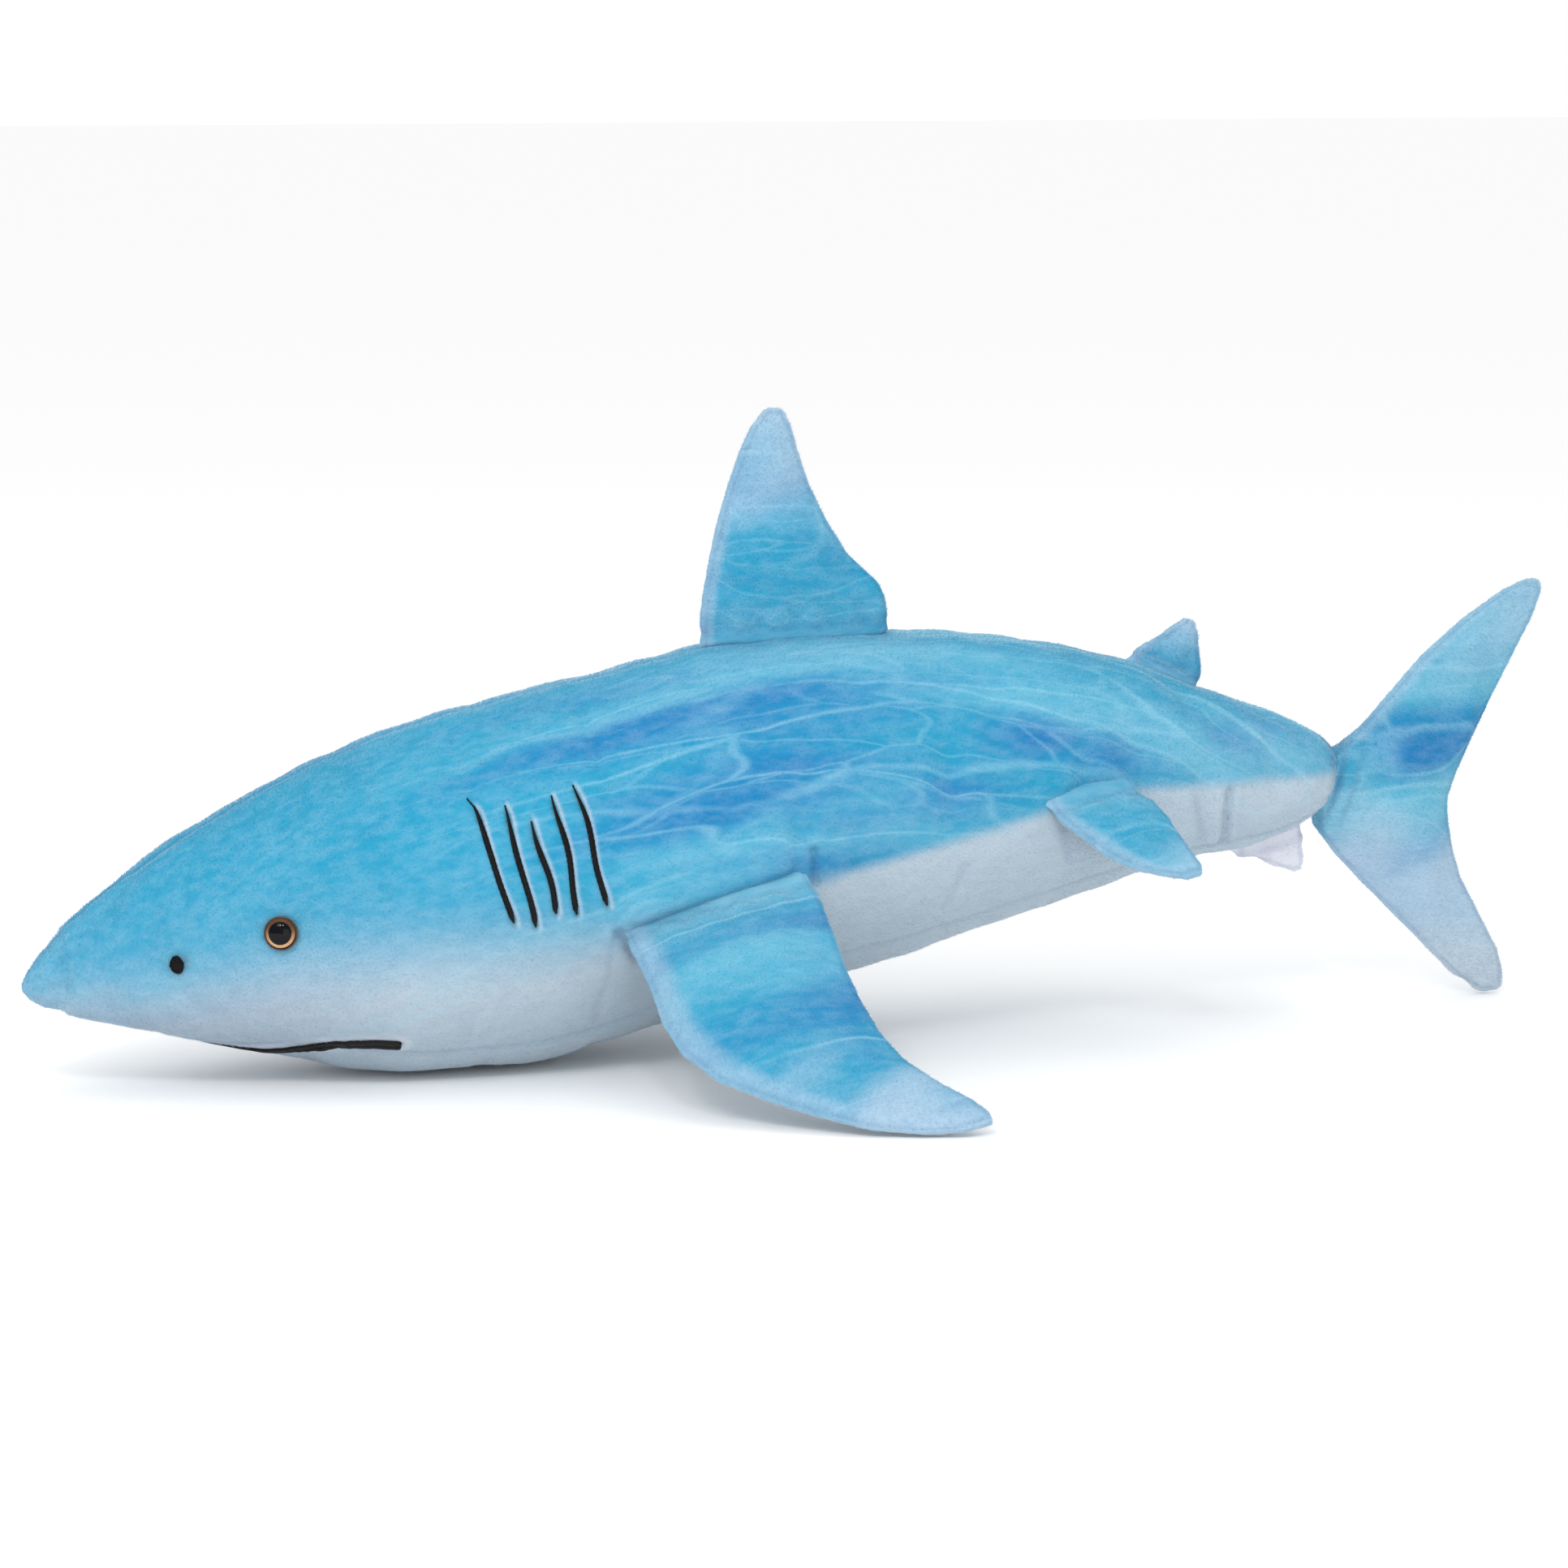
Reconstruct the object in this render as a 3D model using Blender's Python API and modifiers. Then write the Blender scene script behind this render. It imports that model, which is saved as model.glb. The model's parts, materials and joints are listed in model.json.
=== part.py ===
"""Plush shark: fabric panels sewn over stuffing, eight stuffed fins, safety eyes and embroidery.

Metres, +Z up, nose towards -X, left side towards -Y. The shark lies as it rests on a table: on its
chest and on the tips of its pectoral fins, tail in the air. The origin is the middle of the ground
under it. The body is two halves, which bend sideways at a vertical axis behind the dorsal fin, and
each fin turns on the line where it is sewn on.
"""

import math

import bpy
from mathutils import Matrix, Vector

# Body: the top and the bottom of its outline, nose to tail. The chest dips under the ground here
# and is flattened to it, as the weight of the toy does.
OUTLINE = (  # x, top, bottom
    (-0.4925, 0.0820, 0.0530),
    (-0.4793, 0.0951, 0.0485),
    (-0.4593, 0.1140, 0.0414),
    (-0.4394, 0.1296, 0.0354),
    (-0.3995, 0.1555, 0.0249),
    (-0.3594, 0.1771, 0.0155),
    (-0.3192, 0.1963, 0.0060),
    (-0.2787, 0.2113, -0.0040),
    (-0.2380, 0.2215, -0.0045),
    (-0.1970, 0.2310, -0.0030),
    (-0.1557, 0.2390, 0.0060),
    (-0.1140, 0.2480, 0.0184),
    (-0.0692, 0.2565, 0.0291),
    (-0.0198, 0.2612, 0.0381),
    (0.0349, 0.2606, 0.0484),
    (0.0785, 0.2577, 0.0599),
    (0.1225, 0.2538, 0.0714),
    (0.1668, 0.2464, 0.0830),
    (0.2115, 0.2348, 0.0936),
    (0.2565, 0.2165, 0.1027),
    (0.3020, 0.1995, 0.1075),
    (0.3235, 0.1913, 0.1135),
    (0.3375, 0.1830, 0.1200),
    (0.3455, 0.1690, 0.1280),
)
NOSE = Vector((-0.5010, 0.0, 0.0665))
STALK_END = Vector((0.3480, 0.0, 0.1480))
WIDTH_RATIO = 0.92  # body width over its height
END_LEAN = 0.28  # how far the end of the tail stalk leans back with height
LEAN_FROM, LEAN_TO = 0.25, 0.3455

BEND_X = 0.088  # the sideways bend's vertical axis
BEND_LIMIT = math.radians(18.0)
BEND_GAP = 0.0012

FABRIC = 0.0020  # a body panel, with its pile
SEAM_GAP = 0.0010
TIP_GAP = 0.0018  # from the middle plane to a side panel's point at the nose and at the tail stalk
STUFFING_GAP = 0.0012
TIP_DEPTH = 1.8  # how much deeper the stuffing starts at a tip than on the flanks
FIRST_SECTION = 0.0104  # how far the stuffing's first section is from a tip, at least
SIDE_STEPS, BELLY_STEPS = 10, 6
BELLY_HALF_ANGLE = math.radians(35.0)
BELLY_FROM, BELLY_FULL = -0.4593, -0.3192  # where the belly panel starts and reaches its full width

FIN_FABRIC = 0.0015
FIN_EDGE = 0.0019  # half a fin's thickness at its sewn edge
FIN_ROUND = 0.6  # how full a fin's section is: less is fuller
CHORD_STEPS = 6
FIN_HEM = 0.17  # the share of a fin's chord at each edge that holds no stuffing
FIN_CORE_DEPTH = 0.0026  # the stuffing starts this far under a fin's face,
FIN_CORE_SHARE = 0.72  # and fills this much of what is left

# Fins: stations across the root line and out from it, in metres, and how far the stuffing swells
# each side there: (out, front, rear, swell).
DORSAL = (
    (0.0, 0.0, 0.1240, 0.0),
    (0.012, 0.001, 0.1225, 0.0070),
    (0.024, 0.002, 0.1180, 0.0100),
    (0.044, 0.006, 0.0970, 0.0115),
    (0.066, 0.0115, 0.0830, 0.0105),
    (0.088, 0.0185, 0.0720, 0.0090),
    (0.110, 0.027, 0.0645, 0.0070),
    (0.126, 0.035, 0.0600, 0.0045),
    (0.136, 0.043, 0.0555, 0.0),
)
SECOND_DORSAL = (
    (0.0, 0.0, 0.0510, 0.0),
    (0.009, 0.006, 0.0470, 0.0035),
    (0.018, 0.0135, 0.0425, 0.0045),
    (0.026, 0.0195, 0.0385, 0.0035),
    (0.0335, 0.0255, 0.0325, 0.0),
)
ANAL = (
    (0.0, 0.0, 0.0500, 0.0),
    (0.006, 0.0140, 0.0465, 0.0035),
    (0.012, 0.0230, 0.0462, 0.0045),
    (0.018, 0.0310, 0.0450, 0.0035),
    (0.0225, 0.0370, 0.0430, 0.0),
)
PECTORAL = (
    (0.0, 0.0, 0.1207, 0.0),
    (0.018, -0.001, 0.1200, 0.0090),
    (0.044, -0.002, 0.1170, 0.0125),
    (0.071, -0.005, 0.1135, 0.0135),
    (0.097, -0.003, 0.1120, 0.0125),
    (0.125, 0.009, 0.1125, 0.0110),
    (0.150, 0.031, 0.1175, 0.0090),
    (0.172, 0.054, 0.1285, 0.0075),
    (0.192, 0.078, 0.1410, 0.0055),
    (0.206, 0.105, 0.1470, 0.0040),
    (0.2135, 0.129, 0.1455, 0.0),
)
PELVIC = (
    (0.0, 0.0, 0.0635, 0.0),
    (0.010, 0.003, 0.0685, 0.0045),
    (0.024, 0.0085, 0.0720, 0.0070),
    (0.040, 0.0165, 0.0725, 0.0070),
    (0.054, 0.029, 0.0732, 0.0055),
    (0.064, 0.046, 0.0738, 0.0040),
    (0.0705, 0.060, 0.0705, 0.0),
)
# The tail fin stands up from its lower tip, and its root is the front edge between the two lobes.
TAIL = (
    (0.0010, 0.4680, 0.4750, 0.0),
    (0.0040, 0.4605, 0.4788, 0.0025),
    (0.0145, 0.4436, 0.4797, 0.0050),
    (0.0290, 0.4285, 0.4758, 0.0070),
    (0.0570, 0.3995, 0.4602, 0.0090),
    (0.0797, 0.3760, 0.4478, 0.0105),
    (0.1000, 0.3560, 0.4412, 0.0115),
    (0.1190, 0.3425, 0.4378, 0.0120),
    (0.1330, 0.3468, 0.4371, 0.0130),
    (0.1500, 0.3516, 0.4432, 0.0130),
    (0.1690, 0.3573, 0.4520, 0.0125),
    (0.1760, 0.3665, 0.4555, 0.0115),
    (0.1980, 0.3867, 0.4665, 0.0100),
    (0.2278, 0.4151, 0.4825, 0.0085),
    (0.2506, 0.4437, 0.4950, 0.0065),
    (0.2683, 0.4724, 0.5010, 0.0040),
    (0.2755, 0.4900, 0.4985, 0.0),
)

# Root lines, front end and rear end, and a point towards which the fin runs.
DORSAL_ROOT = ((-0.0762, 0.0, 0.2637), (0.0478, 0.0, 0.2648), (0.0, 0.0, 0.4))
SECOND_DORSAL_ROOT = ((0.2125, 0.0, 0.2378), (0.2606, 0.0, 0.2183), (0.27, 0.0, 0.3))
ANAL_ROOT = ((0.2855, 0.0, 0.1020), (0.3340, 0.0, 0.1142), (0.32, 0.0, 0.0))
PECTORAL_ROOT = ((-0.1556, -0.1095, 0.0928), (-0.0379, -0.1095, 0.1193), (0.0070, -0.2800, 0.0108))
PELVIC_ROOT = ((0.1255, -0.0868, 0.1518), (0.1867, -0.0755, 0.1606), (0.2078, -0.1220, 0.1170))
TAIL_ROOT_LOW = (0.3423, 0.0, 0.1190)  # the root line leans back 0.3 m for each metre of height

EYE_X, EYE_Z = -0.3580, 0.1030
EYE_RADIUS = 0.0090
LENS_BASE, LENS_RISE = 0.0021, 0.0044
SHANK_RADIUS, SHANK_LENGTH = 0.0025, 0.0135
WASHER_RADIUS = 0.0085
EYE_POCKET_RADIUS = 0.0110
SHANK_HOLE_RADIUS = 0.0031
ROUND_SEGMENTS = 20

NOSTRIL_X, NOSTRIL_Z = -0.4180, 0.0828
NOSTRIL_SIZE = (0.0045, 0.0030, 0.0007)
STITCH_GAP = 0.0006
GILL_THREAD = 0.0013
MOUTH_THREAD = 0.0023
GILLS = (  # top x, top z, bottom x, bottom z
    (-0.2446, 0.1804, -0.2240, 0.1075),
    (-0.2254, 0.1745, -0.2111, 0.1043),
    (-0.2111, 0.1650, -0.1975, 0.1118),
    (-0.1960, 0.1794, -0.1850, 0.1106),
    (-0.1819, 0.1850, -0.1678, 0.1151),
)
GILL_POINTS = 6
MOUTH_CORNER_X, MOUTH_FRONT_X = -0.2832, -0.3990
MOUTH_CORNER_ANGLE = math.radians(-49.0)
MOUTH_POINTS = 17

FINISHES = {  # base colour, roughness, metallic
    "printed_plush": ((0.10, 0.42, 0.66), 0.90, 0.0),
    "white_plush": ((0.80, 0.80, 0.85), 0.90, 0.0),
    "polyester_fill": ((0.90, 0.90, 0.88), 1.00, 0.0),
    "clear_lens": ((0.02, 0.02, 0.02), 0.05, 0.0),
    "bronze_plastic": ((0.45, 0.30, 0.12), 0.30, 0.0),
    "washer_plastic": ((0.85, 0.85, 0.82), 0.50, 0.0),
    "black_thread": ((0.02, 0.02, 0.02), 0.70, 0.0),
}


def clear_scene():
    for thing in list(bpy.data.objects):
        bpy.data.objects.remove(thing, do_unlink=True)


def collection(name):
    made = bpy.data.collections.new(name)
    bpy.context.scene.collection.children.link(made)
    return made


def material(finish, name):
    colour, roughness, metallic = FINISHES[finish]
    made = bpy.data.materials.new(name)
    made.use_nodes = True
    shader = made.node_tree.nodes["Principled BSDF"]
    shader.inputs["Base Color"].default_value = (*colour, 1.0)
    shader.inputs["Roughness"].default_value = roughness
    shader.inputs["Metallic"].default_value = metallic
    made.diffuse_color = (*colour, 1.0)
    return made


def add(name, data, finish, parent=None, smooth=True):
    """Links a mesh or a curve as a sub-part with its own material."""
    thing = bpy.data.objects.new(name, data)
    data.materials.append(material(finish, name))
    PART.objects.link(thing)
    thing.parent = parent
    if smooth and thing.type == "MESH":
        data.shade_smooth()
    return thing


def pivot(name, place):
    """An empty on a joint's axis, which the joint's pieces hang from."""
    thing = bpy.data.objects.new(name, None)
    PART.objects.link(thing)
    thing.location = place
    bpy.context.view_layer.update()
    return thing


def keep_in_place(thing, parent):
    """Parents a piece whose mesh is already in the shark's frame."""
    thing.parent = parent
    thing.matrix_parent_inverse = parent.matrix_world.inverted()


def through(stations, x):
    """The values at x on a smooth curve through the stations, each (x, value, ...)."""
    last = len(stations) - 1
    i = max(k for k in range(last) if k == 0 or stations[k][0] <= x)
    before, here = stations[max(i - 1, 0)], stations[i]
    after, beyond = stations[i + 1], stations[min(i + 2, last)]
    span = after[0] - here[0]
    t = (x - here[0]) / span
    values = []
    for k in range(1, len(here)):
        leaving = (after[k] - before[k]) / (after[0] - before[0]) * span
        arriving = (beyond[k] - here[k]) / (beyond[0] - here[0]) * span
        values.append(
            here[k] * (2 * t**3 - 3 * t**2 + 1)
            + after[k] * (3 * t**2 - 2 * t**3)
            + leaving * (t**3 - 2 * t**2 + t)
            + arriving * (t**3 - t**2)
        )
    return values


def half_height(x):
    top, bottom = through(OUTLINE, x)
    return (top - bottom) / 2


def body_point(x, angle, inset=0.0):
    """A point of the body's skin. Angle 0 is its left side, 90 degrees its top, and inset is how deep."""
    top, bottom = through(OUTLINE, x)
    slope = (half_height(x + 1e-4) - half_height(x - 1e-4)) / 2e-4
    depth = inset * math.sqrt(1 + slope**2)
    height = (top - bottom) / 2 - depth
    width = (top - bottom) / 2 * WIDTH_RATIO - depth
    rise = height * math.sin(angle)
    lean = END_LEAN * min(max((x - LEAN_FROM) / (LEAN_TO - LEAN_FROM), 0.0), 1.0) ** 2
    place = Vector((x + lean * rise, -width * math.cos(angle), (top + bottom) / 2 + rise))
    place.z = max(place.z, inset)
    return place


def body_normal(x, angle):
    along = body_point(x + 1e-3, angle) - body_point(x - 1e-3, angle)
    around = body_point(x, angle + 1e-3) - body_point(x, angle - 1e-3)
    return along.cross(around).normalized()


def angle_at(x, z):
    """The angle on the left side where the skin passes a height."""
    top, bottom = through(OUTLINE, x)
    return math.asin((2 * z - top - bottom) / (top - bottom))


def belly_angle(x):
    """Half the belly panel's share of the section, narrowing to a point under the snout."""
    t = min(max((x - BELLY_FROM) / (BELLY_FULL - BELLY_FROM), 0.0), 1.0)
    return BELLY_HALF_ANGLE * math.sqrt(t)


def bend_face(x, angle, side, inset=0.0):
    """A point where a half of the body ends: its face opens away from the bend's axis."""
    wide = half_height(BEND_X) * WIDTH_RATIO * abs(math.cos(angle))
    shift = BEND_GAP + wide * math.tan(BEND_LIMIT / 2)
    return body_point(x + side * shift, angle, inset)


def grid_mesh(name, rows, inside, closed=False):
    """A surface through rows of points, facing away from a point inside the toy.

    A row of one point closes the surface there.
    """
    points, index = [], []
    for row in rows:
        index.append(range(len(points), len(points) + len(row)))
        points += row
    faces = []
    for low, high in zip(index, index[1:]):
        count = max(len(low), len(high))
        for k in range(count if closed else count - 1):
            n = (k + 1) % count
            ring = [low[k % len(low)], low[n % len(low)], high[n % len(high)], high[k % len(high)]]
            faces.append(list(dict.fromkeys(ring)))
    return facing_out(name, points, faces, inside)


def facing_out(name, points, faces, inside):
    """A mesh whose faces are all turned so that, taken together, they face away from a point."""
    mesh = bpy.data.meshes.new(name)
    mesh.from_pydata([tuple(point) for point in points], [], faces)
    mesh.update()
    outward = sum(face.area * face.normal.dot(face.center - inside) for face in mesh.polygons)
    if outward < 0:
        mesh.flip_normals()
    return mesh


def thicken(thing, thickness):
    """Gives an open surface its thickness, inwards."""
    wall = thing.modifiers.new("fabric", "SOLIDIFY")
    wall.thickness = thickness
    wall.offset = -1.0


def side_row(x, place=body_point):
    """One row of a side panel, from the belly seam up to the seam along the back."""
    half_gap = SEAM_GAP / 2 / half_height(x)
    low = -math.pi / 2 + belly_angle(x) + half_gap
    high = math.pi / 2 - half_gap
    angles = [low + (high - low) * k / SIDE_STEPS for k in range(SIDE_STEPS + 1)]
    return [place(x, angle) for angle in angles]


def belly_row(x, place=body_point):
    half = belly_angle(x) - SEAM_GAP / 2 / half_height(x)
    angles = [-math.pi / 2 + half * (2 * k / BELLY_STEPS - 1) for k in range(BELLY_STEPS + 1)]
    return [place(x, angle) for angle in angles]


def ring(x, inset, place=body_point):
    """A whole section, at the same angles as the panels over it."""
    belly = belly_angle(x)
    low, high = -math.pi / 2 + belly, math.pi / 2
    left = [low + (high - low) * k / SIDE_STEPS for k in range(SIDE_STEPS)]
    right = [math.pi - angle for angle in reversed(left)]
    under = [-math.pi / 2 + belly * (2 * k / BELLY_STEPS - 1) for k in range(1, BELLY_STEPS)]
    return [place(x, angle, inset) for angle in [*left, high, *right, *under]]


def mirrored(rows):
    return [[Vector((p.x, -p.y, p.z)) for p in row] for row in rows]


def body_half(name, places, side, tip, parent):
    """The panels and the stuffing of one half of the body, from its closed tip to the bend."""

    def face(x, angle, inset=0.0):
        return bend_face(x, angle, side, inset)

    inside = Vector(((tip.x + BEND_X) / 2, 0.0, NOSE.z + SEAM_GAP))
    inside.z = sum(through(OUTLINE, inside.x)) / 2
    tip_row = [tip - Vector((0.0, TIP_GAP, 0.0))]
    side_rows = [tip_row, *[side_row(x) for x in places], side_row(BEND_X, face)]
    belly_places = [x for x in places if BELLY_FROM < x < OUTLINE[-2][0]]
    belly_rows = [*[belly_row(x) for x in belly_places], belly_row(BEND_X, face)]
    panels = (
        (f"side_panel_left_{name}", side_rows, "printed_plush"),
        (f"side_panel_right_{name}", mirrored(side_rows), "printed_plush"),
        (f"belly_panel_{name}", belly_rows, "white_plush"),
    )
    for panel, rows, finish in panels:
        thing = add(panel, grid_mesh(panel, rows, inside), finish)
        thicken(thing, FABRIC)
        keep_in_place(thing, parent)

    depth = FABRIC + STUFFING_GAP
    inner_tip = tip - Vector((side * TIP_DEPTH * depth, 0.0, 0.0))
    filled = [x for x in places if abs(x - tip.x) > FIRST_SECTION]
    rings = [ring(x, depth) for x in filled]
    rows = [[inner_tip], *rings, ring(BEND_X, depth, face)]
    core = f"stuffing_{name}"
    thing = add(core, close_at_bend(core, rows, side, inside), "polyester_fill")
    keep_in_place(thing, parent)
    return thing


def close_at_bend(name, rows, side, inside):
    """A closed body of whole sections, whose last one is closed by two faces meeting on the middle plane."""
    open_end = grid_mesh(name, rows, inside, closed=True)
    points = [vertex.co.copy() for vertex in open_end.vertices]
    faces = [list(face.vertices) for face in open_end.polygons]
    bpy.data.meshes.remove(open_end)
    count = len(rows[-1])
    first = len(points) - count
    # A section runs up the left side to its top, down the right side and back under the belly.
    bottom = count // 2 + SIDE_STEPS
    right = [first + k for k in range(bottom - 1, SIDE_STEPS, -1)]
    left = [first + (bottom + 1 + k) % count for k in range(len(right))]
    spine = range(len(points), len(points) + len(right))
    points += [Vector((BEND_X + side * BEND_GAP, 0.0, points[k].z)) for k in right]
    ends = first + bottom, first + SIDE_STEPS
    middle = [ends[0], *spine, ends[1]]
    for edge, turn in ((left, 1), (right, -1)):
        outer = [ends[0], *edge, ends[1]]
        for k in range(len(middle) - 1):
            corners = [outer[k], outer[k + 1], middle[k + 1], middle[k]]
            faces.append(list(dict.fromkeys(corners))[:: turn * side])
    return facing_out(name, points, faces, inside)


def fin_frame(root):
    """A fin's origin, its root line, the direction it runs out in, and its left face's normal."""
    front, rear, towards = (Vector(point) for point in root)
    along = (rear - front).normalized()
    out = towards - front
    out = (out - out.dot(along) * along).normalized()
    return front, along, out, along.cross(out)


def fin_height(swell, share):
    """How far a fin's surface stands off its middle plane."""
    return FIN_EDGE + swell * math.sin(math.pi * share) ** FIN_ROUND


def fin_row(frame, station, face, edge=0.0, core=False):
    """One row of a fin's face, or of its stuffing, from its front edge to its rear edge."""
    origin, along, out, normal = frame
    reach, front, rear, swell = station
    row = []
    for k in range(CHORD_STEPS + 1):
        share = edge + (1 - 2 * edge) * k / CHORD_STEPS
        height = fin_height(swell, share)
        if core:
            height = (height - FIN_CORE_DEPTH) * FIN_CORE_SHARE
        row.append(origin + along * (front + (rear - front) * share) + out * reach + normal * height * face)
    return row


def behind(frame, rows, face):
    """A point well behind a fin's face, on its other side."""
    points = [point for row in rows for point in row]
    return sum(points, Vector()) / len(points) - frame[3] * face


def fin(name, frame, stations, faces, joint):
    """A fin of two panels, sewn edge to edge, and the stuffing between them."""
    for face, title, finish in faces:
        rows = [fin_row(frame, station, face) for station in stations]
        thing = add(f"{name}_{title}", grid_mesh(f"{name}_{title}", rows, behind(frame, rows, face)), finish)
        thicken(thing, FIN_FABRIC)
        keep_in_place(thing, joint)
    loops = []
    for station in stations[1:-1]:
        near = fin_row(frame, station, 1, edge=FIN_HEM, core=True)
        far = fin_row(frame, station, -1, edge=FIN_HEM, core=True)
        loops.append(near + far[::-1])
    ends = [sum(loop, Vector()) / len(loop) for loop in (loops[0], loops[-1])]
    core = f"{name}_stuffing"
    mesh = grid_mesh(core, [[ends[0]], *loops, [ends[1]]], sum(ends, Vector()) / 2, closed=True)
    keep_in_place(add(core, mesh, "polyester_fill"), joint)


def turned(name, profile, finish, parent):
    """A turned piece from its profile (radius, height), which runs from the top down its outer side."""
    mesh = bpy.data.meshes.new(name)
    edges = [(k, k + 1) for k in range(len(profile) - 1)]
    mesh.from_pydata([(radius, 0.0, height) for radius, height in profile], edges, [])
    thing = add(name, mesh, finish, parent, smooth=False)
    screw = thing.modifiers.new("turn", "SCREW")
    screw.steps = screw.render_steps = ROUND_SEGMENTS
    screw.use_merge_vertices = True
    screw.merge_threshold = 1e-5
    return thing


def seat(name, x, z, side):
    """An empty on the skin, its Z axis pointing out, on the left (side 1) or the right (side -1)."""
    angle = angle_at(x, z)
    place, out = body_point(x, angle), body_normal(x, angle)
    if side < 0:
        place.y, out.y = -place.y, -out.y
    thing = bpy.data.objects.new(name, None)
    PART.objects.link(thing)
    thing.rotation_mode = "QUATERNION"
    thing.location = place
    thing.rotation_quaternion = out.to_track_quat("Z", "X")
    bpy.context.view_layer.update()
    return thing


def cut_cylinder(target, name, at, radius, low, high):
    """Cuts a round hole along a seat's Z axis."""
    bpy.ops.mesh.primitive_cylinder_add(vertices=ROUND_SEGMENTS, radius=radius, depth=high - low)
    cutter = bpy.context.object
    cutter.name = name
    for owner in list(cutter.users_collection):
        owner.objects.unlink(cutter)
    CUTTERS.objects.link(cutter)
    cutter.matrix_world = at.matrix_world @ Matrix.Translation((0.0, 0.0, (low + high) / 2))
    cutter.hide_render = True
    cutter.display_type = "WIRE"
    cut = target.modifiers.new(name, "BOOLEAN")
    cut.operation = "DIFFERENCE"
    cut.solver = "EXACT"
    cut.object = cutter


def eye(word, side, panel, stuffing):
    """A safety eye: a clear dome on a bronze cup, whose shank a washer holds inside the skin."""
    at = seat(f"eye_seat_{word}", EYE_X, EYE_Z, side)
    r = EYE_RADIUS
    steps = [math.radians(18 * k) for k in range(6)]
    dome = [(r * math.sin(t), LENS_BASE + 0.0003 + LENS_RISE * math.cos(t)) for t in steps]
    turned(f"eye_lens_{word}", [*dome, (r - 0.0004, LENS_BASE), (0.0, LENS_BASE)], "clear_lens", at)
    cup = [
        (0.0, 0.0018), (r, 0.0018), (r + 0.0002, 0.0012), (r - 0.0003, 0.0007),
        (SHANK_RADIUS, 0.0007), (SHANK_RADIUS, -SHANK_LENGTH + 0.001),
        (SHANK_RADIUS - 0.001, -SHANK_LENGTH), (0.0, -SHANK_LENGTH),
    ]
    turned(f"eye_cup_{word}", cup, "bronze_plastic", at)
    bore = SHANK_RADIUS + 0.0003
    washer = [
        (bore, -0.0042), (bore + 0.002, -0.0036), (WASHER_RADIUS, -0.0046), (WASHER_RADIUS, -0.0054),
        (bore + 0.002, -0.0048), (bore, -0.0054), (bore, -0.0042),
    ]
    turned(f"eye_washer_{word}", washer, "washer_plastic", at)
    cut_cylinder(panel, f"shank_hole_{word}", at, SHANK_HOLE_RADIUS, -0.010, 0.010)
    cut_cylinder(stuffing, f"eye_pocket_{word}", at, EYE_POCKET_RADIUS, -0.016, 0.020)


def nostril(word, side):
    at = seat(f"nostril_seat_{word}", NOSTRIL_X, NOSTRIL_Z, side)
    long, short, thick = NOSTRIL_SIZE
    profile = [(0.0, thick), (0.8, thick), (1.0, thick * 0.4), (1.0, -thick * 0.4), (0.8, -thick), (0.0, -thick)]
    thing = turned(f"nostril_{word}", [(radius * short, height) for radius, height in profile], "black_thread", at)
    thing.location = (0.0, 0.0, thick + STITCH_GAP)
    thing.scale = (long / short, 1.0, 1.0)


def thread(name, points, radius):
    """An embroidered line that lies on the skin."""
    curve = bpy.data.curves.new(name, "CURVE")
    curve.dimensions = "3D"
    curve.bevel_depth = radius
    curve.bevel_resolution = 1
    curve.use_fill_caps = True
    spline = curve.splines.new("POLY")
    spline.points.add(len(points) - 1)
    for target, point in zip(spline.points, points):
        target.co = (*point, 1.0)
    add(name, curve, "black_thread")


def on_skin(x, angle, lift, side=1):
    point = body_point(x, angle) + body_normal(x, angle) * lift
    return Vector((point.x, side * point.y, point.z))


def gill(word, side, number, line):
    top_x, top_z, low_x, low_z = line
    points = []
    for k in range(GILL_POINTS):
        t = k / (GILL_POINTS - 1)
        x, z = top_x + (low_x - top_x) * t, top_z + (low_z - top_z) * t
        points.append(on_skin(x, angle_at(x, z), GILL_THREAD + STITCH_GAP, side))
    thread(f"gill_slit_{word}_{number}", points, GILL_THREAD)


def mouth():
    """A U round the underside of the snout, corner to corner."""
    points = []
    for k in range(MOUTH_POINTS):
        turn = math.pi * k / (MOUTH_POINTS - 1)
        x = MOUTH_CORNER_X + (MOUTH_FRONT_X - MOUTH_CORNER_X) * math.sin(turn)
        angle = -math.pi / 2 + (MOUTH_CORNER_ANGLE + math.pi / 2) * math.cos(turn)
        points.append(on_skin(x, angle, MOUTH_THREAD + STITCH_GAP))
    thread("mouth_stitching", points, MOUTH_THREAD)


def middle_faces(frame):
    """The left and the right panel of a fin on the middle plane, and the side of it that each is on."""
    left = -1 if frame[3].y > 0 else 1
    return ((left, "left_panel", "printed_plush"), (-left, "right_panel", "printed_plush"))


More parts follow.
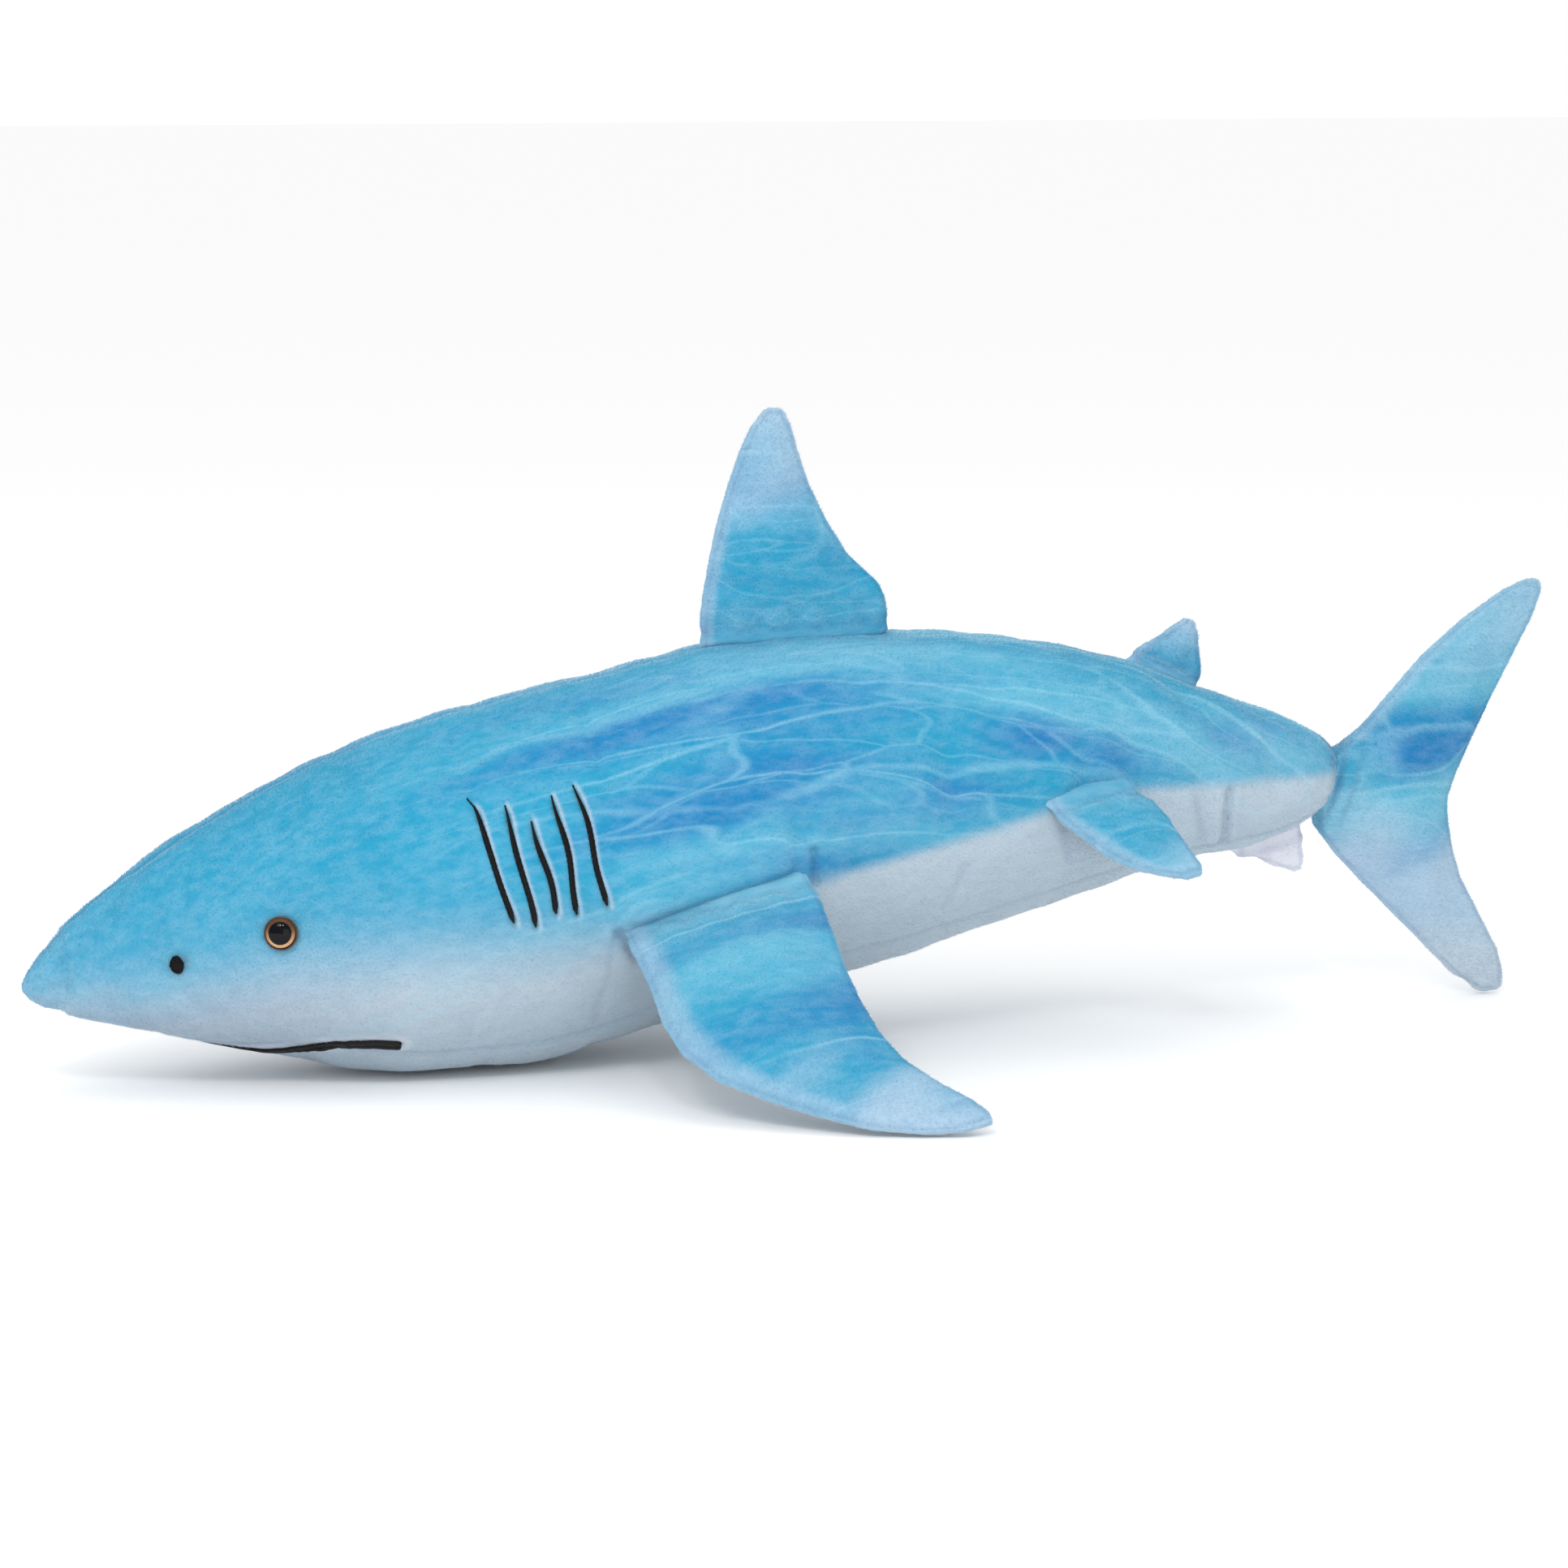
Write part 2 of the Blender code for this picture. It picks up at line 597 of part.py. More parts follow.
def build():
    front_joint = pivot("front_body_base", (0.0, 0.0, 0.0))
    bend = pivot("body_bend_axis", (BEND_X, 0.0, half_height(BEND_X)))
    places = [station[0] for station in OUTLINE]
    front = [x for x in places if x < BEND_X - 0.03]
    rear = [x for x in reversed(places) if x > BEND_X + 0.03]
    stuffing = body_half("front", front, -1, NOSE, front_joint)
    body_half("rear", rear, 1, STALK_END, bend)

    sides = (("left", 1), ("right", -1))
    for word, side in sides:
        eye(word, side, bpy.data.objects[f"side_panel_{word}_front"], stuffing)
        nostril(word, side)
        for number, line in enumerate(GILLS, 1):
            gill(word, side, number, line)
    mouth()

    for name, root, stations in (
        ("dorsal_fin", DORSAL_ROOT, DORSAL),
        ("second_dorsal_fin", SECOND_DORSAL_ROOT, SECOND_DORSAL),
        ("anal_fin", ANAL_ROOT, ANAL),
    ):
        frame = fin_frame(root)
        fin(name, frame, stations, middle_faces(frame), pivot(f"{name}_axis", root[0]))

    tail_frame = (Vector(), Vector((1.0, 0.0, 0.0)), Vector((0.0, 0.0, 1.0)), Vector((0.0, -1.0, 0.0)))
    fin("tail_fin", tail_frame, TAIL, middle_faces(tail_frame), pivot("tail_swing_axis", TAIL_ROOT_LOW))

    pair = ((-1, "upper_panel", "printed_plush"), (1, "lower_panel", "white_plush"))
    for name, root, stations in (("pectoral_fin", PECTORAL_ROOT, PECTORAL), ("pelvic_fin", PELVIC_ROOT, PELVIC)):
        for word, side in sides:
            placed = [(x, side * y, z) for x, y, z in root]
            faces = [(face * side, title, finish) for face, title, finish in pair]
            fin(f"{name}_{word}", fin_frame(placed), stations, faces, pivot(f"{name}_{word}_axis", placed[0]))


clear_scene()
PART = collection("plush_shark")
CUTTERS = collection("cutters")
build()
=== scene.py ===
"""A stuffed plush shark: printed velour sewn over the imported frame, with padded fins, embroidery and eyes."""

from __future__ import annotations

import json
import logging
import math
from dataclasses import dataclass, field
from enum import Enum

import bmesh
import bpy
import numpy as np
from bpy.types import Material, Mesh, Node, NodesModifier, NodeSocket, NodeTree, Object
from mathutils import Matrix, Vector
from mathutils.bvhtree import BVHTree


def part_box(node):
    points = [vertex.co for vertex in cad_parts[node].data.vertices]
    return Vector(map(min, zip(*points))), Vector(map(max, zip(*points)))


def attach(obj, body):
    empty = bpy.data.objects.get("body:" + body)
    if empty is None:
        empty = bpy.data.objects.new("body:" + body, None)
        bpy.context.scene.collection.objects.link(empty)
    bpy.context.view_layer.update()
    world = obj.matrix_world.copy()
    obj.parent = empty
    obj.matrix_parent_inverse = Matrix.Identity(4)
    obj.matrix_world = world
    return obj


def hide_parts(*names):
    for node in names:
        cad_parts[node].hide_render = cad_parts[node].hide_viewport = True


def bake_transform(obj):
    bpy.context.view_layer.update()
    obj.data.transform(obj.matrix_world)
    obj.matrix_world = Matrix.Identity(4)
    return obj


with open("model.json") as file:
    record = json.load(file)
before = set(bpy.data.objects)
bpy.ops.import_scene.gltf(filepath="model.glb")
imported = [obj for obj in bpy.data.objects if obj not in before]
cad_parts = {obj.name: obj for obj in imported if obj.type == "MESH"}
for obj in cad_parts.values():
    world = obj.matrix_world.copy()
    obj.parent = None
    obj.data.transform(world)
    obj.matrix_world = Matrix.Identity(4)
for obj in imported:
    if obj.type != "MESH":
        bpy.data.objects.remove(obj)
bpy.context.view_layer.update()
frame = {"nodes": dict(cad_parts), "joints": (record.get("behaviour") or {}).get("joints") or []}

LOG = logging.getLogger("plush_shark")
Array = np.ndarray
Colour = tuple[float, float, float]
Point = tuple[float, float, float]


class Side(Enum):
    """A side of the shark, seen from behind its tail: its sign is the side's sign on y."""

    LEFT = -1.0
    RIGHT = 1.0

    @property
    def word(self) -> str:
        """The side's name as the frame's nodes spell it."""
        return self.name.lower()


# ---------------------------------------------------------------- small helpers


def smooth_ramp(value: Array, low: float, high: float) -> Array:
    """Rises smoothly from 0 at low to 1 at high.

    Args:
        value: The numbers to map.
        low: Where the ramp starts.
        high: Where it ends, which may lie below low.

    Returns:
        Numbers from 0 to 1.
    """
    share = np.clip((np.asarray(value, float) - low) / (high - low), 0.0, 1.0)
    return share * share * (3.0 - 2.0 * share)


def bell(distance: Array, width: float) -> Array:
    """A Gaussian of 1 at distance 0, down to about a third at width."""
    return np.exp(-np.square(np.asarray(distance, float) / width))


def unit(vectors: Array) -> Array:
    """The vectors, each at length 1."""
    return vectors / np.maximum(np.linalg.norm(vectors, axis=-1, keepdims=True), 1e-12)


def relax(grid: Array, passes: int, ring: bool) -> Array:
    """Smooths a grid of numbers or points with a 1-2-1 kernel in both directions.

    Args:
        grid: Rows by columns, with any further axes.
        passes: How often to smooth.
        ring: True if the last column meets the first.

    Returns:
        The smoothed grid, with its first and last rows kept.
    """
    for _ in range(passes):
        if ring:
            grid = (np.roll(grid, 1, axis=1) + 2 * grid + np.roll(grid, -1, axis=1)) / 4
        else:
            grid[:, 1:-1] = (grid[:, :-2] + 2 * grid[:, 1:-1] + grid[:, 2:]) / 4
        grid[1:-1] = (grid[:-2] + 2 * grid[1:-1] + grid[2:]) / 4
    return grid


def link(made: Object) -> Object:
    """Puts an object in the scene's collection."""
    bpy.context.scene.collection.objects.link(made)
    return made


def points_of(mesh: Mesh) -> Array:
    """A mesh's vertices as an array of points."""
    flat = np.empty(len(mesh.vertices) * 3, np.float32)
    mesh.vertices.foreach_get("co", flat)
    return flat.reshape(-1, 3).astype(float)


def normals_of(mesh: Mesh) -> Array:
    """A mesh's vertex normals as an array."""
    flat = np.empty(len(mesh.vertices) * 3, np.float32)
    mesh.vertex_normals.foreach_get("vector", flat)
    return flat.reshape(-1, 3).astype(float)


def set_points(mesh: Mesh, points: Array) -> None:
    """Moves a mesh's vertices."""
    mesh.vertices.foreach_set("co", points.astype(np.float32).ravel())
    mesh.update()


def store(mesh: Mesh, **rows: Array) -> None:
    """Stores one vector or one number for each vertex, under the names that the finishes read."""
    for name, values in rows.items():
        kind, key = ("FLOAT_VECTOR", "vector") if values.ndim == 2 else ("FLOAT", "value")
        mesh.attributes.new(name, kind, "POINT").data.foreach_set(key, values.astype(np.float32).ravel())


def baked(source: Object, name: str) -> Object:
    """Turns an object with live modifiers into a plain mesh object and removes the source.

    Args:
        source: The object to evaluate.
        name: The new object's name.

    Returns:
        The plain object, at the origin.
    """
    bpy.context.view_layer.update()
    graph = bpy.context.evaluated_depsgraph_get()
    evaluated = source.evaluated_get(graph)
    mesh = bpy.data.meshes.new_from_object(evaluated, preserve_all_data_layers=True, depsgraph=graph)
    bpy.data.objects.remove(source)
    mesh.name = name
    LOG.info("%s: %d faces", name, len(mesh.polygons))
    return link(bpy.data.objects.new(name, mesh))


def set_inputs(modifier: NodesModifier, values: dict[str, object]) -> None:
    """Sets a modifier's inputs by the names of its tree's sockets."""
    for item in modifier.node_group.interface.items_tree:
        if item.item_type == "SOCKET" and item.in_out == "INPUT" and item.name in values:
            modifier[item.identifier] = values[item.name]


def part_of(cover: Object, low: float, high: float) -> Object:
    """The faces of a cover whose middle lies between two values of x, as a new object."""
    piece = link(bpy.data.objects.new("cover_part", cover.data.copy()))
    shell = bmesh.new()
    shell.from_mesh(piece.data)
    outside = [face for face in shell.faces if not low <= face.calc_center_median().x < high]
    bmesh.ops.delete(shell, geom=outside, context="FACES")
    shell.to_mesh(piece.data)
    shell.free()
    return piece


def joint(name: str) -> tuple[Array, Array]:
    """Where one joint of the frame sits, and the direction of its axis."""
    row = next(row for row in frame["joints"] if row["name"] == name)
    return np.array(row["pos_m"], float), unit(np.array(row["axis"], float))


def line_distance(points: Array, line: Array) -> Array:
    """The distance of each point from a line of points.

    Args:
        points: The points to measure.
        line: The line's own points.

    Returns:
        The distances in metres.
    """
    line = np.asarray(line)
    nearest = np.full(len(points), np.inf)
    for first, second in zip(line[:-1], line[1:]):
        step = second - first
        share = np.clip((points - first) @ step / (step @ step), 0, 1)
        nearest = np.minimum(nearest, np.linalg.norm(points - first - share[:, None] * step, axis=1))
    return nearest


def along_line(line: Array, spacing: float) -> tuple[Array, Array]:
    """Evenly spaced points along a line of points.

    Args:
        line: The line's points.
        spacing: The distance between the new points.

    Returns:
        The points, and each one's share of the line's length.
    """
    lengths = np.concatenate([[0.0], np.cumsum(np.linalg.norm(np.diff(line, axis=0), axis=1))])
    count = max(int(lengths[-1] / spacing), 2)
    share = np.linspace(0, 1, count)
    places = [np.interp(share * lengths[-1], lengths, line[:, axis]) for axis in range(3)]
    return np.stack(places, axis=1), share


@dataclass
class CadShell:
    """The surface of some CAD nodes, to be measured.

    Attributes:
        nodes: The CAD nodes' names.
    """

    nodes: tuple[str, ...]

    def __post_init__(self) -> None:
        """Reads the nodes' triangles into one tree."""
        points: list[Vector] = []
        faces: list[tuple[int, ...]] = []
        for name in self.nodes:
            mesh = frame["nodes"][name].data
            first = len(points)
            points.extend(vertex.co.copy() for vertex in mesh.vertices)
            faces.extend(tuple(first + i for i in face.vertices) for face in mesh.polygons)
        self.tree = BVHTree.FromPolygons(points, faces)
        self.points = np.array(points)
        self.triangles = np.array([face[:3] for face in faces])

    def reach(self, start: Array, direction: Array) -> float | None:
        """How far a ray travels before it meets the surface, or None."""
        return self.tree.ray_cast(Vector(start), Vector(direction))[3]

    def slice(self, normal: Array, level: float) -> Array:
        """Where the surface crosses a plane.

        Args:
            normal: The plane's normal.
            level: The plane's distance from the origin along the normal.

        Returns:
            The crossing points of all edges.
        """
        height = self.points @ normal - level
        edges = np.concatenate([self.triangles[:, ends] for ends in ([0, 1], [1, 2], [2, 0])])
        low, high = height[edges[:, 0]], height[edges[:, 1]]
        crossing = (low < 0) != (high < 0)
        share = (low / np.where(crossing, low - high, 1.0))[crossing, None]
        ends = edges[crossing]
        return self.points[ends[:, 0]] * (1 - share) + self.points[ends[:, 1]] * share


def sleeve(name: str, rings: Array, poles: tuple[Array, Array]) -> Object:
    """A closed tube of rings with a pole at each end.

    Args:
        name: The object's name.
        rings: Rows by ring points by 3.
        poles: The points that close the first and the last ring.

    Returns:
        The mesh object, its faces pointing outwards.
    """
    rows, count = rings.shape[:2]
    faces: list[tuple[int, ...]] = []
    for row in range(rows - 1):
        for column in range(count):
            after = (column + 1) % count
            first, second = row * count, (row + 1) * count
            faces.append((first + column, first + after, second + after, second + column))
    last = (rows - 1) * count
    for column in range(count):
        after = (column + 1) % count
        faces.append((rows * count, after, column))
        faces.append((rows * count + 1, last + column, last + after))
    mesh = bpy.data.meshes.new(name)
    mesh.from_pydata(np.vstack([rings.reshape(-1, 3), *poles]).tolist(), [], faces)
    shell = bmesh.new()
    shell.from_mesh(mesh)
    bmesh.ops.recalc_face_normals(shell, faces=shell.faces)
    shell.to_mesh(mesh)
    shell.free()
    return link(bpy.data.objects.new(name, mesh))


# ---------------------------------------------------------------- finishes


class Sheet:
    """A node tree being drawn: adds nodes, sets their inputs and links them."""

    def __init__(self, tree: NodeTree) -> None:
        """Keeps the tree."""
        self.tree = tree

    def fill(self, node: Node, inputs: dict) -> None:
        """Links a node's inputs to outputs, or sets their values."""
        for key, value in inputs.items():
            if isinstance(value, NodeSocket):
                self.tree.links.new(value, node.inputs[key])
            else:
                node.inputs[key].default_value = value

    def add(self, kind: str, inputs: dict | None = None, **settings: object) -> Node:
        """Adds a node.

        Args:
            kind: The node's type.
            inputs: Values or outputs for its inputs, by name or index.
            settings: The node's own properties.

        Returns:
            The node.
        """
        node = self.tree.nodes.new(kind)
        for key, value in settings.items():
            setattr(node, key, value)
        self.fill(node, inputs or {})
        return node

    def math(self, operation: str, first: object, second: object = 0.0) -> NodeSocket:
        """A Math node's result."""
        return self.add("ShaderNodeMath", {0: first, 1: second}, operation=operation).outputs[0]

    def vector(self, operation: str, first: object, second: object) -> NodeSocket:
        """A Vector Math node's result."""
        return self.add("ShaderNodeVectorMath", {0: first, 1: second}, operation=operation).outputs[0]

    def ramp(self, value: object, low: float, high: float, top: float = 1.0) -> NodeSocket:
        """A smooth ramp from 0 at low to top at high."""
        inputs = {"Value": value, "From Min": low, "From Max": high, "To Min": 0.0, "To Max": top}
        return self.add("ShaderNodeMapRange", inputs, interpolation_type="SMOOTHSTEP").outputs[0]

    def mix(self, share: object, first: object, second: object, blend: str = "MIX") -> NodeSocket:
        """One colour mixed into another."""
        first, second = ((*value, 1.0) if isinstance(value, tuple) else value for value in (first, second))
        node = self.add("ShaderNodeMix", {0: share, 6: first, 7: second}, data_type="RGBA", blend_type=blend)
        return node.outputs[2]

    def noise(self, vector: object, scale: float, detail: float = 2.0, rough: float = 0.5) -> Node:
        """A Noise Texture node."""
        inputs = {"Vector": vector, "Scale": scale, "Detail": detail, "Roughness": rough}
        return self.add("ShaderNodeTexNoise", inputs)

    def times(self, first: object, second: object) -> NodeSocket:
        """One number times another."""
        return self.math("MULTIPLY", first, second)

    def number(self, name: str) -> NodeSocket:
        """One of the piece's own stored numbers."""
        return self.add("ShaderNodeAttribute", attribute_name=name).outputs["Fac"]

    def vector_of(self, name: str) -> NodeSocket:
        """One of the piece's own stored vectors."""
        return self.add("ShaderNodeAttribute", attribute_name=name).outputs["Vector"]

    def parts_of(self, name: str) -> list[NodeSocket]:
        """The three numbers of one of the piece's own stored vectors."""
        return list(self.add("ShaderNodeSeparateXYZ", {0: self.vector_of(name)}).outputs)

    def place(self) -> NodeSocket:
        """The piece's Object coordinates."""
        return self.add("ShaderNodeTexCoord").outputs["Object"]

    def bump(self, height: object, strength: float, distance: float) -> NodeSocket:
        """The normal of a bumpy surface."""
        values = {"Strength": strength, "Distance": distance, "Height": height}
        return self.add("ShaderNodeBump", values).outputs[0]


def new_finish(name: str) -> tuple[Material, Sheet, Node]:
    """Starts a material: itself, its sheet and its shader."""
    material = bpy.data.materials.new(name)
    material.use_nodes = True
    return material, Sheet(material.node_tree), material.node_tree.nodes["Principled BSDF"]


def open_group(
    name: str, inputs: dict[str, str], outputs: dict[str, str], kind: str = "ShaderNodeTree"
) -> tuple[NodeTree, Sheet, Node, Node]:
    """Starts a node group.

    Args:
        name: The group's name.
        inputs: Socket types by input name.
        outputs: Socket types by output name.
        kind: The tree's type.

    Returns:
        The tree, its sheet, its input node and its output node.
    """
    tree = bpy.data.node_groups.new(name, kind)
    for socket, socket_type in inputs.items():
        tree.interface.new_socket(socket, in_out="INPUT", socket_type=socket_type)
    for socket, socket_type in outputs.items():
        tree.interface.new_socket(socket, in_out="OUTPUT", socket_type=socket_type)
    sheet = Sheet(tree)
    return tree, sheet, sheet.add("NodeGroupInput"), sheet.add("NodeGroupOutput")


FLOAT, VECTOR, WHOLE = "NodeSocketFloat", "NodeSocketVector", "NodeSocketInt"
GEOMETRY, MATERIAL = "NodeSocketGeometry", "NodeSocketMaterial"


@dataclass
class FabricEffects:
    """The node groups that more than one finish uses.

    Attributes:
        print_seed: Where on the endless print the cloth is cut.
    """

    print_seed: float = 3.7

    def __post_init__(self) -> None:
        """Builds each group once."""
        self.ripples = self.build_ripples()
        self.nap = self.build_nap()

    def build_ripples(self) -> NodeTree:
        """Thin light lines and soft patches, like sun through shallow water, printed on the cloth."""
        tree, sheet, given, result = open_group(
            "WaterRipples",
            {"Lay": VECTOR, "Reach": FLOAT, "Pitch": FLOAT, "Line": FLOAT},
            {"Lines": FLOAT, "Patches": FLOAT, "Clouds": FLOAT},
        )
        reach, pitch = given.outputs["Reach"], given.outputs["Pitch"]
        spacing = sheet.add("ShaderNodeCombineXYZ", {0: reach, 1: pitch, 2: pitch}).outputs[0]
        scaled = sheet.vector("DIVIDE", given.outputs["Lay"], spacing)
        plain = sheet.vector("ADD", scaled, (self.print_seed,) * 3)
        drift = sheet.vector("SUBTRACT", sheet.noise(plain, 0.8, 2.0).outputs["Color"], (0.5, 0.5, 0.5))
        bent = sheet.vector("ADD", plain, sheet.vector("MULTIPLY", drift, (1.1, 0.8, 0.8)))
        layers = []
        for scale, shift, share in ((0.85, 0.0, 0.75), (1.5, 5.3, 0.55), (2.3, 8.1, 0.35)):
            place = sheet.vector("ADD", bent, (shift, shift, shift))
            at = {"Vector": place, "Scale": scale}
            cells = sheet.add("ShaderNodeTexVoronoi", at, feature="DISTANCE_TO_EDGE")
            edge = sheet.math("DIVIDE", cells.outputs["Distance"], given.outputs["Line"])
            line = sheet.math("SUBTRACT", 1.0, sheet.ramp(edge, 0.0, 1.0))
            fade = sheet.ramp(sheet.noise(place, 0.7, 1.0).outputs["Fac"], 0.34, 0.58, share)
            layers.append(sheet.times(line, fade))
        lines = sheet.math("MAXIMUM", sheet.math("MAXIMUM", layers[0], layers[1]), layers[2])
        patches = sheet.noise(bent, 1.0, 1.5, 0.45).outputs["Fac"]
        clouds = sheet.noise(sheet.vector("ADD", bent, (9.0, 9.0, 9.0)), 0.9, 1.5, 0.45).outputs["Fac"]
        sheet.fill(result, {"Lines": lines, "Patches": patches, "Clouds": clouds})
        return tree

    def build_nap(self) -> NodeTree:
        """The brushed surface of short pile: a height, and a mask of strokes that lie lighter or darker."""
        tree, sheet, given, result = open_group(
            "PlushNap",
            {"Place": VECTOR, "Pile": FLOAT, "Strokes": FLOAT},
            {"Height": FLOAT, "Brushed": FLOAT},
        )
        fine = sheet.noise(given.outputs["Place"], given.outputs["Pile"], 2.0).outputs["Fac"]
        long_way = sheet.vector("MULTIPLY", given.outputs["Place"], (0.45, 1.0, 1.0))
        strokes = sheet.noise(long_way, given.outputs["Strokes"], 3.0).outputs["Fac"]
        sheet.fill(result, {"Height": sheet.math("ADD", fine, sheet.times(strokes, 1.2)), "Brushed": strokes})
        return tree


@dataclass(frozen=True)
class SharkPrint:
    """The printed velour: a sea-blue back with ripples, running out into a pale belly.

    Attributes:
        water: The blue of the back.
        deep: The blue of deep water, also multiplied in as painted shade in seams and folds.
        turquoise: The light patches.
        ripple: The lines of light.
        mist: The pale tips of the fins, also mixed in as painted sheen along their leading edges.
        belly: The belly's grey blue.
        blush: The white cloth of the anal fin.
        ink: The dye round the embroidery.
        frost: The pile where it is brushed the other way.
        fuzz: The painted sheen of the pile seen from the side, mixed in at grazing angles.
        lit_tip: The fibres' tips.
        reach: The length of a ripple along the body, in metres.
        pitch: The distance between ripples.
        line: The ripples' thickness, as a share of the pitch.
    """

    water: Colour = (0.017, 0.290, 0.470)
    deep: Colour = (0.004, 0.150, 0.410)
    turquoise: Colour = (0.150, 0.460, 0.600)
    ripple: Colour = (0.270, 0.560, 0.680)
    mist: Colour = (0.330, 0.470, 0.600)
    belly: Colour = (0.400, 0.485, 0.560)
    blush: Colour = (0.660, 0.670, 0.740)
    ink: Colour = (0.010, 0.010, 0.014)
    frost: Colour = (0.80, 0.88, 0.95)
    fuzz: Colour = (0.72, 0.84, 0.92)
    lit_tip: Colour = (0.86, 0.93, 0.98)
    reach: float = 0.400
    pitch: float = 0.054
    line: float = 0.038

    def colour(self, sheet: Sheet, effects: FabricEffects) -> NodeSocket:
        """Draws the print, with painted shade in seams and folds, from the values stored on the piece.

        Args:
            sheet: The material's sheet.
            effects: The shared groups.

        Returns:
            The colour output.
        """
        blue_side, tint, lively = sheet.parts_of("shade")
        ink, blush, crease_shade = sheet.parts_of("mark")
        inputs = {"Lay": sheet.vector_of("lay"), "Reach": self.reach, "Pitch": self.pitch, "Line": self.line}
        ripples = sheet.add("ShaderNodeGroup", node_tree=effects.ripples)
        sheet.fill(ripples, inputs)
        lines, patches, clouds = (ripples.outputs[key] for key in ("Lines", "Patches", "Clouds"))
        pools = sheet.times(sheet.ramp(patches, 0.48, 0.70, 0.7), lively)
        patches = sheet.times(sheet.number("depth"), sheet.ramp(clouds, 0.78, 0.40))
        dark = sheet.math("MAXIMUM", pools, patches)
        strength = sheet.math("ADD", 0.15, sheet.times(lively, 0.75))
        light = sheet.times(sheet.ramp(clouds, 0.42, 0.72), strength)
        sea = sheet.mix(light, sheet.mix(dark, self.water, self.deep), self.turquoise)
        sea = sheet.mix(sheet.times(sheet.times(lines, lively), 0.62), sea, self.ripple)
        sea = sheet.mix(tint, sea, self.mist)
        wander = sheet.times(sheet.math("SUBTRACT", clouds, 0.5), 0.9)
        blue = sheet.ramp(sheet.math("ADD", blue_side, wander), -1.0, 1.0)
        pale = sheet.mix(sheet.times(lines, 0.25), self.belly, self.ripple)
        cloth = sheet.mix(blush, sheet.mix(blue, pale, sea), self.blush)
        # Painted shade: deep blue multiplied in along seams, folds, hems, the neck, under the jaw and round the
        # eyes.
        cloth = sheet.mix(sheet.times(crease_shade, 0.45), cloth, self.deep, "MULTIPLY")
        return sheet.mix(ink, cloth, self.ink)

    def skin(self, effects: FabricEffects) -> Material:
        """The cloth's backing, with the brushed surface of the pile in its colour, roughness and bump, and painted
        sheen at grazing angles.
        """
        material, sheet, shader = new_finish("printed_plush_cloth")
        nap = sheet.add("ShaderNodeGroup", node_tree=effects.nap)
        sheet.fill(nap, {"Place": sheet.place(), "Pile": 780.0, "Strokes": 170.0})
        tone = sheet.ramp(nap.outputs["Brushed"], 0.30, 0.70, 0.14)
        cloth = self.colour(sheet, effects)
        brushed = sheet.mix(tone, cloth, sheet.mix(0.5, cloth, self.frost))
        grazing = sheet.add("ShaderNodeLayerWeight", {"Blend": 0.3}).outputs["Facing"]
        finish = {
            # Painted sheen: a paler colour mixed in where the surface is seen edge-on.
            "Base Color": sheet.mix(sheet.ramp(grazing, 0.45, 1.0, 0.40), brushed, self.fuzz),
            "Roughness": sheet.math("ADD", 0.78, sheet.times(nap.outputs["Brushed"], 0.2)),
            "Normal": sheet.bump(nap.outputs["Height"], 0.55, 0.0007),
            "Specular IOR Level": 0.18,
            "Sheen Weight": 0.12,
            "Sheen Roughness": 0.45,
        }
        sheet.fill(shader, finish)
        return material

    def pile(self, effects: FabricEffects) -> Material:
        """The pile's fibres: the same print, darker at the roots and lighter at the tips."""
        material, sheet, shader = new_finish("printed_plush_pile")
        tip = sheet.number("tip")
        finish = {
            "Base Color": sheet.mix(sheet.times(tip, 0.22), self.colour(sheet, effects), self.lit_tip),
            "Roughness": sheet.math("SUBTRACT", 0.85, sheet.times(tip, 0.2)),
            "Specular IOR Level": 0.2,
            "Sheen Weight": 0.10,
        }
        sheet.fill(shader, finish)
        return material


@dataclass(frozen=True)
class ThreadFinish:
    """Black satin embroidery thread with a fine twist.

    Attributes:
        black: The thread's colour.
        worn: Its colour where fibres stand out.
    """

    black: Colour = (0.003, 0.003, 0.004)
    worn: Colour = (0.018, 0.015, 0.015)

    def material(self) -> Material:
        """Builds the thread's material."""
        material, sheet, shader = new_finish("black_thread_satin")
        fray = sheet.noise(sheet.place(), 1400.0, 2.0).outputs["Fac"]
        finish = {
            "Base Color": sheet.mix(sheet.ramp(fray, 0.45, 0.75), self.black, self.worn),
            "Roughness": sheet.math("ADD", 0.32, sheet.times(fray, 0.25)),
            "Normal": sheet.bump(fray, 0.4, 0.0002),
            "Specular IOR Level": 0.25,
        }
        sheet.fill(shader, finish)
        return material


